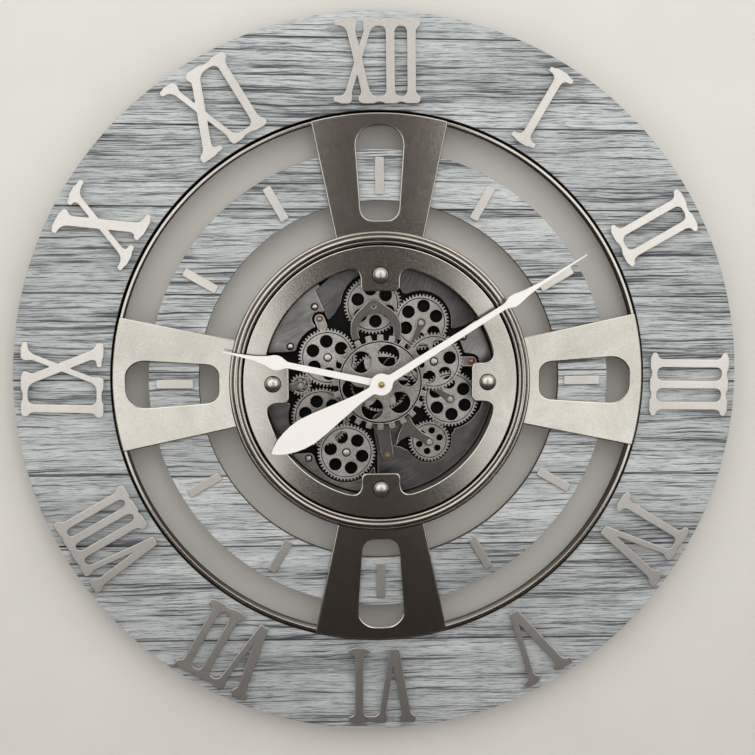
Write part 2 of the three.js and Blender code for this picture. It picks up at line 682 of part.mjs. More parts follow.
// ---- Numerals: strokes and serif bars, standing off the wood on two pegs ----
// A stroke is [foot centre, top centre, width]. A bar is [left, right]; tops and feet are listed apart.
// Each numeral is set by hand, so it leans a little off its hour line, in degrees clockwise.
const THICK = 10;
const THIN = 7.4;
const NUMERALS = [
  { name: 'i', lean: 0.7, strokes: [[0, 0, THICK]], tops: [[-14.6, 14.6]], feet: [[-14.6, 14.6]] },
  {
    name: 'ii',
    lean: 1.0,
    strokes: [[-13.3, -13.3, THICK], [13.3, 13.3, THICK]],
    tops: [[-25.5, 25.5]],
    feet: [[-25.5, 25.5]],
  },
  {
    name: 'iii',
    lean: 1.0,
    strokes: [[-23.8, -23.8, THICK], [0, 0, THICK], [23.8, 23.8, THICK]],
    tops: [[-35.4, 35.4]],
    feet: [[-35.4, 35.4]],
  },
  {
    name: 'iv',
    lean: 1.5,
    strokes: [[-25, -25, THICK], [12, -3, THIN], [14, 31, THICK + 1]],
    tops: [[-37, 6], [21, 40]],
    feet: [[-37, -13]],
  },
  {
    name: 'v',
    lean: 0.5,
    strokes: [[-1, -20, THICK + 1], [1, 20, THIN]],
    tops: [[-32, -9], [10, 30]],
    feet: [],
  },
  {
    name: 'vi',
    lean: 0.2,
    strokes: [[-16, -31, THICK + 1], [-14, -1, THIN], [24, 24, THICK]],
    tops: [[-40, -22], [-7, 36]],
    feet: [[12, 36]],
  },
  {
    name: 'vii',
    lean: 0,
    strokes: [[-24, -38, THICK + 1], [-22, -11, THIN], [10, 10, THICK], [32.7, 32.7, THICK]],
    tops: [[-46, -28], [-17, 44]],
    feet: [[-1, 44]],
  },
  {
    name: 'viii',
    lean: 0.5,
    strokes: [[-28, -39, THICK], [-26, -18, THIN], [-1, -1, THICK], [17.5, 17.5, THICK], [36, 36, THICK]],
    tops: [[-46, -31], [-24, 44]],
    feet: [[-10, 44]],
  },
  {
    name: 'ix',
    lean: 1.8,
    strokes: [[-36, -36, THICK], [28, -8, THICK + 1.5], [-8, 24, THIN]],
    tops: [[-45, 4], [17, 36]],
    feet: [[-45, -2], [10, 36]],
  },
  {
    name: 'x',
    lean: 0.2,
    strokes: [[19, -19, THICK + 3], [-19, 15, THIN + 0.6]],
    tops: [[-33.5, -5], [1, 30.5]],
    feet: [[-33.5, -3.5], [3.5, 34]],
  },
  {
    name: 'xi',
    lean: -1.6,
    strokes: [[-28, 8, THICK + 1.5], [8, -24, THIN], [36, 36, THICK]],
    tops: [[-36, -17], [-4, 45]],
    feet: [[-36, -10], [2, 45]],
  },
  {
    name: 'xii',
    lean: -0.4,
    strokes: [[-10, -30, THICK], [-34, -7, THIN], [14.3, 14.3, THICK], [37, 37, THICK]],
    tops: [[-45, -23], [-13, 46]],
    feet: [[-47, -29], [-20, 46]],
  },
];

function strokeShape([foot, top, width]) {
  const reach = NUMERAL_TALL / 2;
  return outline([
    [foot - width / 2, -reach],
    [foot + width / 2, -reach],
    [top + width / 2, reach],
    [top - width / 2, reach],
  ]);
}

function numeralSolid({ strokes, tops, feet }) {
  const reach = NUMERAL_TALL / 2;
  const front = NUMERAL_BACK + NUMERAL_THICK;
  const bar = ([left, right], low) => boxSolid(left, right, low, low + SERIF, NUMERAL_BACK, front);
  const pegBack = DIAL_BACK + DIAL_THICK + CLEAR;
  const pegs = [strokes[0], strokes.at(-1)].map(([foot, top], i) => {
    const share = i === 0 ? 0.28 : 0.72;
    const z = -reach + NUMERAL_TALL * share;
    return rodAt(foot + (top - foot) * share, z, PEG_R, pegBack, NUMERAL_BACK + 1, 8);
  });
  return join(
    ...strokes.map((stroke) => plate(strokeShape(stroke), NUMERAL_BACK, NUMERAL_THICK)),
    ...tops.map((ends) => bar(ends, reach - SERIF)),
    ...feet.map((ends) => bar(ends, -reach)),
    ...pegs,
  );
}

NUMERALS.forEach((numeral, i) => {
  const angle = degrees(30 * (i + 1) + numeral.lean);
  addPart(`numeral_${numeral.name}`, numeralSolid(numeral), SILVER, {
    x: NUMERAL_R * Math.sin(angle),
    z: NUMERAL_R * Math.cos(angle),
    turn: angle,
  });
});

export default clock;
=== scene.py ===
"""Skeleton wall clock: the looks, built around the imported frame.

Shapes are worked out in millimetres on the dial plane: x to the right, z up, and a depth in front of
the wall. A depth d lies at y = -d. Everything is turned into metres when a mesh is made.
"""
from __future__ import annotations

import json
import logging
import math
from dataclasses import dataclass
from enum import Enum
from typing import Any, Callable, Optional, Sequence

import bmesh
import bpy
import numpy as np
from mathutils import Matrix, Vector
from mathutils.geometry import tessellate_polygon

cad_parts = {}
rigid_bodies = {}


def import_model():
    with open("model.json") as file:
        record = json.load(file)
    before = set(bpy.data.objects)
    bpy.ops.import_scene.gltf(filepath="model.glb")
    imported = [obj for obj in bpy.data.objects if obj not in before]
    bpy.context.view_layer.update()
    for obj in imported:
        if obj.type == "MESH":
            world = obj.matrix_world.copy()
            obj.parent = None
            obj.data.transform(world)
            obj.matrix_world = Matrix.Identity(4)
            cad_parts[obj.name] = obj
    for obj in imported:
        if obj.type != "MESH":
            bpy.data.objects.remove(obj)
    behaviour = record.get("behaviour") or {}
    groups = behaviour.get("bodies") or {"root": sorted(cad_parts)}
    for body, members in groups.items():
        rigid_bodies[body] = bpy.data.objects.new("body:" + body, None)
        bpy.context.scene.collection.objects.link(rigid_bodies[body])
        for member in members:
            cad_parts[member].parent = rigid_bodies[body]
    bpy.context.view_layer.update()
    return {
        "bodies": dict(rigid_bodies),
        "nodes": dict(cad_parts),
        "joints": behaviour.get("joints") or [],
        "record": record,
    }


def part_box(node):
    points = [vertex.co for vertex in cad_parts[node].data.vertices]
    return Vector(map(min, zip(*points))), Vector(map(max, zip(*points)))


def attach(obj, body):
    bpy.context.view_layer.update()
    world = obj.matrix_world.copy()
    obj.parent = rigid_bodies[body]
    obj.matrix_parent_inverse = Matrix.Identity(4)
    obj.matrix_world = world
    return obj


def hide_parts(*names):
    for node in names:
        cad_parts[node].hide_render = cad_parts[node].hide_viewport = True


LOG = logging.getLogger("clock")
MM = 0.001
TURN = 2 * math.pi

Colour = tuple[float, float, float]
Point = tuple[float, float]
Area = Callable[[np.ndarray, np.ndarray], np.ndarray]


class Side(Enum):
    """The four sides of the dial, as degrees clockwise from twelve."""

    TOP = 0
    RIGHT = 90
    BOTTOM = 180
    LEFT = 270


# ---------------------------------------------------------------- outlines on the dial plane


def disc(cx: float, cz: float, radius: float) -> Area:
    """Signed distance to a circle: distance from its centre less its radius."""
    return lambda x, z: np.hypot(x - cx, z - cz) - radius


def bar(start: Point, end: Point, half: float) -> Area:
    """Signed distance to a round-ended bar: distance to its middle line less half its width."""
    (x0, z0), (x1, z1) = start, end
    dx, dz = x1 - x0, z1 - z0
    length = max(dx * dx + dz * dz, 1e-9)

    def field_of(x: np.ndarray, z: np.ndarray) -> np.ndarray:
        """Distance to the nearest point of the segment."""
        along = np.clip(((x - x0) * dx + (z - z0) * dz) / length, 0, 1)
        return np.hypot(x - x0 - along * dx, z - z0 - along * dz) - half

    return field_of


def path(points: Sequence[Point], half: float) -> Area:
    """Signed distance to a band of even width along a chain of points."""
    return union(*[bar(a, b, half) for a, b in zip(points, points[1:])])


def block(cx: float, cz: float, half_x: float, half_z: float, corner: float) -> Area:
    """Signed distance to a rectangle with round corners."""

    def field_of(x: np.ndarray, z: np.ndarray) -> np.ndarray:
        """Distance outside the core rectangle, or depth inside it, less the corner radius."""
        qx = np.abs(x - cx) - half_x + corner
        qz = np.abs(z - cz) - half_z + corner
        outside = np.hypot(np.maximum(qx, 0), np.maximum(qz, 0))
        return outside + np.minimum(np.maximum(qx, qz), 0) - corner

    return field_of


def polygon(*corners: Point) -> Area:
    """Signed distance to a polygon: distance to its nearest side, negative where a ray meets an odd
    number of sides."""

    def field_of(x: np.ndarray, z: np.ndarray) -> np.ndarray:
        """Goes through the sides, keeping the lowest distance and counting the crossings."""
        nearest = np.full(np.shape(x), 1e9)
        inside = np.zeros(np.shape(x), bool)
        for (x0, z0), (x1, z1) in zip(corners, corners[1:] + corners[:1]):
            nearest = np.minimum(nearest, bar((x0, z0), (x1, z1), 0)(x, z))
            ahead = x < x0 + (x1 - x0) * (z - z0) / ((z1 - z0) or 1e-9)
            inside ^= ((z0 > z) != (z1 > z)) & ahead
        return np.where(inside, -nearest, nearest)

    return field_of


def wedge(low: float, high: float, half_low: float, half_high: float) -> Area:
    """Signed distance to an upright tapered strip: the largest of its four edge distances."""
    slope = (half_high - half_low) / (high - low)
    scale = 1 / math.hypot(1, slope)

    def field_of(x: np.ndarray, z: np.ndarray) -> np.ndarray:
        """Distance to the slanting sides and to the two ends."""
        side = (np.abs(x) - half_low - slope * (z - low)) * scale
        return np.maximum(side, np.maximum(low - z, z - high))

    return field_of


def union(*areas: Area) -> Area:
    """The lowest of several signed distances."""
    return lambda x, z: np.minimum.reduce([area(x, z) for area in areas])


def overlap(*areas: Area) -> Area:
    """The highest of several signed distances."""
    return lambda x, z: np.maximum.reduce([area(x, z) for area in areas])


def cut(area: Area, *tools: Area) -> Area:
    """One area with others taken away: the highest of it and the negated tools."""
    return lambda x, z: np.maximum.reduce([area(x, z), *[-tool(x, z) for tool in tools]])


def blended(first: Area, second: Area, reach: float) -> Area:
    """Union with a hollow fillet: the lower distance, less a quadratic term within `reach`."""

    def field_of(x: np.ndarray, z: np.ndarray) -> np.ndarray:
        """Polynomial smooth minimum."""
        a, b = first(x, z), second(x, z)
        near = np.maximum(reach - np.abs(a - b), 0) / reach
        return np.minimum(a, b) - near * near * reach / 4

    return field_of


def grown(area: Area, amount: float) -> Area:
    """The same area with its edge moved outwards."""
    return lambda x, z: area(x, z) - amount


def loop_order(following: np.ndarray) -> list[np.ndarray]:
    """Splits a permutation of points into its closed loops, in walking order.

    Each point finds the lowest index of its loop by doubling jumps, then counts its steps to it.

    Args:
        following: the index of the point after each point.

    Returns:
        One index array for each loop.
    """
    count = len(following)
    rounds = max(int(math.ceil(math.log2(max(count, 2)))), 1) + 1
    head = np.arange(count)
    jump = following.copy()
    for _ in range(rounds):
        head = np.minimum(head, head[jump])
        jump = jump[jump]
    own = np.arange(count) == head
    steps = np.where(own, 0, 1)
    jump = np.where(own, np.arange(count), following)
    for _ in range(rounds):
        steps = steps + steps[jump]
        jump = jump[jump]
    order = np.lexsort((-steps, head))
    cuts = np.flatnonzero(np.diff(head[order])) + 1
    return np.split(order, cuts)


def resampled(loop: np.ndarray, spacing: float) -> np.ndarray:
    """A closed loop, its points set evenly along it and then drawn halfway to their neighbours' mean."""
    closed = np.vstack([loop, loop[:1]])
    lengths = np.hypot(*np.diff(closed, axis=0).T)
    walked = np.concatenate([[0], np.cumsum(lengths)])
    count = max(int(round(walked[-1] / spacing)), 8)
    at = np.linspace(0, walked[-1], count, endpoint=False)
    even = np.column_stack([np.interp(at, walked, closed[:, 0]), np.interp(at, walked, closed[:, 1])])
    return (np.roll(even, 1, 0) + 2 * even + np.roll(even, -1, 0)) / 4


def contour(area: Area, low: Point, high: Point, cell: float = 0.5, spacing: float = 0.8) -> list[np.ndarray]:
    """Outline of an area: the zero line of its signed distance on a grid of triangles.

    Each grid cell is two triangles. Where a triangle's corners differ in sign, the line crosses two of
    its edges, at points found by linear interpolation, with the area kept on the left.

    Args:
        area: signed distance, negative inside.
        low: lower corner of the grid.
        high: upper corner of the grid.
        cell: grid pitch.
        spacing: distance between the points of the outline.

    Returns:
        Closed loops, outer ones anticlockwise and holes clockwise.
    """
    xs = np.arange(low[0], high[0] + cell, cell)
    zs = np.arange(low[1], high[1] + cell, cell)
    grid_x, grid_z = np.meshgrid(xs, zs)
    value = area(grid_x, grid_z)
    value = np.where(np.abs(value) < 1e-6, 1e-6, value).ravel()
    flat_x, flat_z = grid_x.ravel(), grid_z.ravel()
    width = len(xs)
    corner = (np.arange(len(zs) - 1)[:, None] * width + np.arange(width - 1)[None]).ravel()
    a, b, c, d = corner, corner + 1, corner + width + 1, corner + width
    tris = np.vstack([np.column_stack([a, b, c]), np.column_stack([a, c, d])])
    total = len(value)
    starts, ends = [], []
    for turn in range(3):
        p, q, r = np.roll(tris, -turn, axis=1).T
        lone_in = (value[p] < 0) & (value[q] > 0) & (value[r] > 0)
        lone_out = (value[p] > 0) & (value[q] < 0) & (value[r] < 0)
        first = np.minimum(p, q) * total + np.maximum(p, q)
        last = np.minimum(p, r) * total + np.maximum(p, r)
        starts += [first[lone_in], last[lone_out]]
        ends += [last[lone_in], first[lone_out]]
    start, end = np.concatenate(starts), np.concatenate(ends)
    keys, start_at = np.unique(start, return_inverse=True)
    following = np.empty(len(keys), int)
    following[start_at] = np.searchsorted(keys, end)
    one, two = keys // total, keys % total
    share = value[one] / (value[one] - value[two])
    crossing = np.column_stack([
        flat_x[one] + share * (flat_x[two] - flat_x[one]),
        flat_z[one] + share * (flat_z[two] - flat_z[one]),
    ])
    return [resampled(crossing[loop], spacing) for loop in loop_order(following)]


def circle(cx: float, cz: float, radius: float, steps: int = 48, hole: bool = False) -> np.ndarray:
    """Points of a circle, anticlockwise, or clockwise for a hole."""
    angle = np.linspace(0, TURN, steps, endpoint=False) * (-1 if hole else 1)
    return np.column_stack([cx + radius * np.cos(angle), cz + radius * np.sin(angle)])


def turned_by(points: np.ndarray, clockwise: float, centre: Point = (0, 0)) -> np.ndarray:
    """Points turned clockwise about the origin by an angle in radians, then moved to a centre."""
    c, s = math.cos(clockwise), math.sin(clockwise)
    x, z = points[:, 0], points[:, 1]
    return np.column_stack([x * c + z * s + centre[0], -x * s + z * c + centre[1]])


def rounded(corners: Sequence[tuple[float, float, float]], steps: int = 6) -> np.ndarray:
    """A polygon with each corner (x, y, radius) replaced by an arc that touches both its sides."""
    out: list[np.ndarray] = []
    for i, (x, y, radius) in enumerate(corners):
        here = np.array([x, y])
        if radius <= 0:
            out.append(here[None])
            continue
        back = np.array(corners[i - 1][:2]) - here
        ahead = np.array(corners[(i + 1) % len(corners)][:2]) - here
        back, ahead = back / np.hypot(*back), ahead / np.hypot(*ahead)
        half = math.acos(float(np.clip(back @ ahead, -1, 1))) / 2
        middle = here + (back + ahead) / np.hypot(*(back + ahead)) * radius / math.sin(half)
        first = here + back * radius / math.tan(half) - middle
        last = here + ahead * radius / math.tan(half) - middle
        begin = math.atan2(first[1], first[0])
        sweep = (math.atan2(last[1], last[0]) - begin + math.pi) % TURN - math.pi
        angle = begin + sweep * np.linspace(0, 1, steps + 1)
        out.append(middle + radius * np.column_stack([np.cos(angle), np.sin(angle)]))
    return np.vstack(out)


# ---------------------------------------------------------------- skins


@dataclass
class Shell:
    """A closed skin in millimetres.

    Attributes:
        points: x, depth and z of each vertex.
        faces: index arrays of quads and triangles.
        edge: 1 on a rounded edge and 0 on a flat face, for wear, and below 0 for painted shade, a near-black
            stand-in for shade in gaps, grooves and contact rings.
    """

    points: np.ndarray
    faces: list[np.ndarray]
    edge: np.ndarray

    def moved(self, x: float = 0, depth: float = 0, z: float = 0) -> "Shell":
        """The skin moved bodily."""
        return Shell(self.points + np.array([x, depth, z]), self.faces, self.edge)

    def spun(self, clockwise: float, centre: Point = (0, 0)) -> "Shell":
        """The skin turned clockwise about the depth axis, then moved to a centre."""
        flat = turned_by(self.points[:, [0, 2]], clockwise, centre)
        return Shell(np.column_stack([flat[:, 0], self.points[:, 1], flat[:, 1]]), self.faces, self.edge)


def merged(shells: Sequence[Shell]) -> Shell:
    """Several skins as one, with their indices shifted."""
    offsets = np.cumsum([0] + [len(shell.points) for shell in shells[:-1]])
    faces = [f + start for shell, start in zip(shells, offsets) for f in shell.faces]
    return Shell(np.vstack([s.points for s in shells]), faces, np.concatenate([s.edge for s in shells]))


def grid_quads(rows: int, cols: int, ring: bool) -> np.ndarray:
    """Quads of a grid of rows by cols points, closed along the columns, and along the rows if a ring."""
    row = np.arange(rows if ring else rows - 1)[:, None]
    col = np.arange(cols)[None]
    after_row, after_col = (row + 1) % rows, (col + 1) % cols
    quads = [row * cols + col, row * cols + after_col, after_row * cols + after_col, after_row * cols + col]
    return np.stack(quads, axis=-1).reshape(-1, 4)


def revolve(profile: np.ndarray, steps: int = 160, edge: Any = 0.0) -> Shell:
    """A turned piece: each profile point (radius, depth) goes round the depth axis.

    x is radius times the sine of the angle, and z is radius times its cosine. A profile that starts and
    ends on the axis closes there; any other closes on itself.

    Args:
        profile: radius and depth of each point, running so that the solid is on its left.
        steps: points round the circle.
        edge: the wear value of the whole skin, or one for each profile point; below 0 it is painted shade.

    Returns:
        The closed skin.
    """
    profile = np.asarray(profile, float)
    ring = not (profile[0, 0] < 1e-9 and profile[-1, 0] < 1e-9)
    angle = np.linspace(0, TURN, steps, endpoint=False)
    radius, depth = profile[:, :1], profile[:, 1:]
    x, z = radius * np.sin(angle), radius * np.cos(angle)
    points = np.stack([x, np.broadcast_to(depth, x.shape), z], axis=-1).reshape(-1, 3)
    quads = grid_quads(len(profile), steps, ring)
    closed = np.vstack([profile, profile[:1]])
    turning = np.sum(closed[:-1, 0] * closed[1:, 1] - closed[1:, 0] * closed[:-1, 1])
    wear = np.repeat(np.broadcast_to(edge, len(profile)), steps).astype(float)
    return Shell(points, [quads if turning > 0 else quads[:, ::-1]], wear)


def inset(loop: np.ndarray, amount: float) -> np.ndarray:
    """A loop moved into the material on its left, along the mean of the normals of its two sides."""
    before, after = loop - np.roll(loop, 1, 0), np.roll(loop, -1, 0) - loop
    normal = [np.column_stack([-t[:, 1], t[:, 0]]) / np.hypot(*t.T)[:, None] for t in (before, after)]
    mean = normal[0] + normal[1]
    mean /= np.maximum(np.hypot(*mean.T)[:, None], 1e-9)
    stretch = np.maximum(np.sum(mean * normal[0], axis=1, keepdims=True), 0.6)
    return loop + mean / stretch * amount


def slab(loops: Sequence[np.ndarray], back: float, front: float, edge: float = 0.4, steps: int = 3,
         skirt: float = 0.0, soot: float = 0.0) -> Shell:
    """A flat plate with rounded edges: its outline is carried along a profile from back to front.

    The profile is a quarter circle at each face: the inset falls with one minus the cosine of an angle
    while the depth rises with its sine.

    Args:
        loops: outlines with the material on their left.
        back: depth of the back face.
        front: depth of the front face.
        edge: radius of the edges.
        steps: points on each quarter circle.
        skirt: how far the walls stand outside the outlines.
        soot: how dark the whole skin is painted as shade, from 0 to 1.

    Returns:
        The closed skin.
    """
    angle = np.linspace(0, math.pi / 2, steps + 1)
    insets = edge * (1 - np.cos(angle)) - skirt
    rises = edge * (1 - np.sin(angle))
    levels = list(zip(insets[::-1], back + rises[::-1])) + list(zip(insets, front - rises))
    wear = np.concatenate([np.sin(2 * angle[::-1]), np.sin(2 * angle)])
    wear[[0, -1]] = 0
    wear = wear if soot == 0 else np.full(len(wear), -soot)
    counts = [len(loop) for loop in loops]
    starts = np.cumsum([0] + counts[:-1])
    total = sum(counts)
    points = []
    for amount, depth in levels:
        flat = np.vstack([inset(loop, amount) for loop in loops])
        points.append(np.column_stack([flat[:, 0], np.full(total, depth), flat[:, 1]]))
    faces = []
    for start, count in zip(starts, counts):
        quads = grid_quads(len(levels), count, False)
        row, col = quads // count, quads % count
        faces.append(row * total + start + col)
    rim = points[-1][:, [0, 2]]
    rings = [[Vector((x, z, 0)) for x, z in rim[s:s + n].tolist()] for s, n in zip(starts, counts)]
    tris = np.array(tessellate_polygon(rings), int).reshape(-1, 3)
    p, q, r = rim[tris[:, 0]], rim[tris[:, 1]], rim[tris[:, 2]]
    spin = (q[:, 0] - p[:, 0]) * (r[:, 1] - p[:, 1]) - (q[:, 1] - p[:, 1]) * (r[:, 0] - p[:, 0])
    tris = np.where(spin[:, None] > 0, tris, tris[:, ::-1])[np.abs(spin) > 1e-9]
    faces += [tris + (len(levels) - 1) * total, tris[:, ::-1]]
    return Shell(np.vstack(points), faces, np.repeat(wear, total))


def cut_slab(area: Area, low: Point, high: Point, back: float, front: float, edge: float = 0.4,
             cell: float = 0.5, spacing: float = 0.8) -> Shell:
    """A plate whose outline is the edge of an area."""
    return slab(contour(area, low, high, cell, spacing), back, front, edge)


def dome(radius: float, height: float, back: float, rim: float = 0.5, steps: int = 32) -> Shell:
    """A round-headed boss: a short wall, then a quarter of an ellipse up to the axis."""
    angle = np.linspace(0, math.pi / 2, 9)
    crown = np.column_stack([radius * np.cos(angle), back + rim + (height - rim) * np.sin(angle)])
    crown[-1, 0] = 0
    return revolve(np.vstack([[0, back], [radius, back], crown]), steps, 0.5)


def post(radius: float, back: float, front: float, edge: float = 0.25, steps: int = 28) -> Shell:
    """A plain pin with rounded ends."""
    corners = [(0, back, 0), (radius, back, edge), (radius, front, edge), (0, front, 0)]
    return revolve(rounded(corners, 3), steps, 0.3)


def cheese_head(radius: float, back: float, front: float) -> Shell:
    """A slotted screw head: a round plate with a notch across it."""
    area = cut(disc(0, 0, radius), block(0, 0, radius * 2, radius * 0.14, 0.01))
    low, high = (-radius - 1, -radius - 1), (radius + 1, radius + 1)
    top = cut_slab(area, low, high, (back + front) / 2, front, 0.15, 0.15, 0.3)
    return merged([revolve(rounded([(0, back, 0), (radius, back, 0.1), (radius, (back + front) / 2, 0.1),
                                    (0, (back + front) / 2, 0)], 2), 28), top])


# ---------------------------------------------------------------- finishes


class Graph:
    """Adds and links nodes in one tree."""

    def __init__(self, tree: bpy.types.NodeTree) -> None:
        """Keeps the tree."""
        self.tree = tree

    def add(self, kind: str, inputs: Optional[dict[Any, Any]] = None, **settings: Any) -> bpy.types.Node:
        """Adds a node.

        Args:
            kind: the node's type, without the ShaderNode prefix.
            inputs: values or sockets for its inputs, by name or number.
            settings: the node's own properties.

        Returns:
            The node.
        """
        node = self.tree.nodes.new(kind if kind.startswith("NodeGroup") else f"ShaderNode{kind}")
        for name, value in settings.items():
            setattr(node, name, value)
        for key, value in (inputs or {}).items():
            if isinstance(value, bpy.types.NodeSocket):
                self.tree.links.new(value, node.inputs[key])
            else:
                node.inputs[key].default_value = value
        return node

    def math(self, operation: str, *values: Any, clamp: bool = False) -> bpy.types.NodeSocket:
        """One arithmetic step on up to three values."""
        node = self.add("Math", dict(enumerate(values)), operation=operation, use_clamp=clamp)
        return node.outputs[0]

    def mix(self, share: Any, first: Any, second: Any, blend: str = "MIX") -> bpy.types.NodeSocket:
        """Mixes two colours."""
        node = self.add("Mix", data_type="RGBA", blend_type=blend)
        colours = [s for s in node.inputs if s.type == "RGBA"]
        for socket, value in ((node.inputs[0], share), (colours[0], first), (colours[1], second)):
            if isinstance(value, bpy.types.NodeSocket):
                self.tree.links.new(value, socket)
            else:
                socket.default_value = (*value, 1) if isinstance(value, tuple) else value
        return next(s for s in node.outputs if s.type == "RGBA")

    def noise(self, vector: Any, scale: float, detail: float = 4, roughness: float = 0.55,
              distortion: float = 0) -> bpy.types.NodeSocket:
        """A noise value, about 0.5 on average."""
        inputs = {"Vector": vector, "Scale": scale, "Detail": detail, "Roughness": roughness,
                  "Distortion": distortion}
        return self.add("TexNoise", inputs).outputs[0]

    def ramp(self, value: Any, stops: Sequence[tuple[float, Any]],
             step: bool = False) -> bpy.types.NodeSocket:
        """A colour ramp. A stop is (position, colour or grey)."""
        node = self.add("ValToRGB", {0: value})
        band = node.color_ramp
        band.interpolation = "CONSTANT" if step else "LINEAR"
        band.elements.remove(band.elements[1])
        for index, (position, shade) in enumerate(sorted(stops, key=lambda stop: stop[0])):
            element = band.elements.new(position) if index else band.elements[0]
            element.position = position
            element.color = (*shade, 1) if isinstance(shade, tuple) else (shade, shade, shade, 1)
        return node.outputs[0]

    def stretch(self, vector: Any, scale: tuple[float, float, float],
                shift: tuple[float, float, float] = (0, 0, 0)) -> bpy.types.NodeSocket:
        """Coordinates scaled and moved."""
        return self.add("Mapping", {0: vector, 1: shift, 3: scale}).outputs[0]


def group(name: str, inputs: dict[str, float], outputs: Sequence[str],
          build: Callable[[Graph, Any], dict[str, Any]]) -> bpy.types.NodeTree:
    """Makes a shader node group once.

    Args:
        name: the group's name.
        inputs: number inputs and their usual values.
        outputs: number outputs.
        build: adds the inner nodes, and gives the socket of each output.

    Returns:
        The group.
    """
    if name in bpy.data.node_groups:
        return bpy.data.node_groups[name]
    tree = bpy.data.node_groups.new(name, "ShaderNodeTree")
    for label, value in inputs.items():
        socket = tree.interface.new_socket(label, in_out="INPUT", socket_type="NodeSocketFloat")
        socket.default_value = value
    for label in outputs:
        tree.interface.new_socket(label, in_out="OUTPUT", socket_type="NodeSocketFloat")
    graph = Graph(tree)
    entry = graph.add("NodeGroupInput")
    made = build(graph, entry.outputs)
    leave = graph.add("NodeGroupOutput")
    for label in outputs:
        tree.links.new(made[label], leave.inputs[label])
    return tree


def satin_group() -> bpy.types.NodeTree:
    """Satin plating: a fine pebbled tone and height, and slow cloudy patina."""

    def build(graph: Graph, given: Any) -> dict[str, Any]:
        """Grain is two octaves of noise at the given size. Clouds are a slow distorted noise."""
        where = graph.add("TexCoord").outputs["Object"]
        grain = graph.add("TexNoise", {"Vector": where, "Scale": given["Grain"], "Detail": 3.0,
                                       "Roughness": 0.6}).outputs[0]
        cloud = graph.noise(where, 11, 5, 0.6, 0.8)
        tone = graph.math("MULTIPLY_ADD", graph.math("SUBTRACT", grain, 0.5), given["Contrast"], 0.5,
                          clamp=True)
        patina = graph.math("SMOOTH_MAX", graph.math("MULTIPLY_ADD", cloud, 3.2, -1.25), 0.0, 0.1)
        return {"Tone": tone, "Patina": graph.math("MINIMUM", patina, 1.0), "Height": grain}

    return group("satin", {"Grain": 900.0, "Contrast": 1.0}, ["Tone", "Patina", "Height"], build)


def rub_and_shade_group() -> bpy.types.NodeTree:
    """Wear along rounded edges, the edge value broken up by noise, and painted shade where the edge value is
    below 0.
    """

    def build(graph: Graph, given: Any) -> dict[str, Any]:
        """The mask is the edge value times the amount, less a share of noise. The painted shade is its
        negative part.
        """
        where = graph.add("TexCoord").outputs["Object"]
        edge = graph.add("Attribute", attribute_name="edge").outputs["Fac"]
        broken = graph.noise(where, 160, 3)
        keep = graph.math("MULTIPLY_ADD", broken, -0.7, 1.3)
        soot = graph.math("MULTIPLY", edge, -1.0, clamp=True)
        return {"Mask": graph.math("MULTIPLY", graph.math("MULTIPLY", edge, keep), given["Amount"],
                                   clamp=True),
                "Soot": soot}

    return group("edge_rub_and_shade", {"Amount": 0.7}, ["Mask", "Soot"], build)


def grain_group() -> bpy.types.NodeTree:
    """Long wood grain along x: three stretched noises, each board with its own part of the pattern."""

    def build(graph: Graph, given: Any) -> dict[str, Any]:
        """Each noise is far finer across the board than along it.

        The board number shifts the pattern, and a slow sway of the height bends the lines into long arches.
        """
        where = graph.add("TexCoord").outputs["Object"]
        axis = graph.add("SeparateXYZ", {0: where}).outputs
        shift = graph.math("MULTIPLY", given["Board"], 7.31)
        seat = graph.add("CombineXYZ", {0: graph.math("ADD", axis[0], shift), 1: shift,
                                        2: axis[2]}).outputs[0]
        sway = graph.math("SUBTRACT", graph.noise(graph.stretch(seat, (4.2, 1, 13)), 1, 3, 0.5, 0.6), 0.5)
        bent = graph.add("CombineXYZ", {0: graph.math("ADD", axis[0], shift), 1: shift,
                                        2: graph.math("MULTIPLY_ADD", sway, 0.012, axis[2])}).outputs[0]
        broad = graph.noise(graph.stretch(bent, (3.0, 1, 42)), 1, 5, 0.6, 0.3)
        streak = graph.noise(graph.stretch(bent, (10, 1, 640)), 1, 5, 0.66, 0.1)
        hair = graph.noise(graph.stretch(bent, (50, 1, 1500)), 1, 3, 0.7)
        wash = graph.noise(graph.stretch(seat, (5.5, 1, 12)), 1, 4, 0.55, 0.4)
        return {"Broad": broad, "Streak": streak, "Hair": hair, "Wash": wash}

    return group("board_grain", {"Board": 0.0}, ["Broad", "Streak", "Hair", "Wash"], build)


@dataclass(frozen=True)
class Finish:
    """A surface finish.

    Attributes:
        name: the material's name.
        slot: the record's material slot.
        colour: main colour.
        rough: main roughness.
    """

    name: str
    slot: str
    colour: Colour
    rough: float

    def material(self) -> bpy.types.Material:
        """The material, made at its first use."""
        found = bpy.data.materials.get(self.name)
        if found:
            return found
        made = bpy.data.materials.new(self.name)
        made.use_nodes = True
        made.node_tree.nodes.clear()
        graph = Graph(made.node_tree)
        shader = graph.add("BsdfPrincipled", {"Base Color": (*self.colour, 1), "Roughness": self.rough})
        out = graph.add("OutputMaterial", {0: shader.outputs[0]})
        out.target = "ALL"
        self.dress(graph, shader)
        return made

    def dress(self, graph: Graph, shader: bpy.types.Node) -> None:
        """Adds the finish's own nodes."""
        raise NotImplementedError

    @staticmethod
    def bump(graph: Graph, shader: bpy.types.Node, height: Any, depth: float) -> None:
        """Feeds a height, in metres at full value, to the shader's normal."""
        bump = graph.add("Bump", {"Strength": 1.0, "Distance": depth, "Height": height})
        graph.tree.links.new(bump.outputs[0], shader.inputs["Normal"])


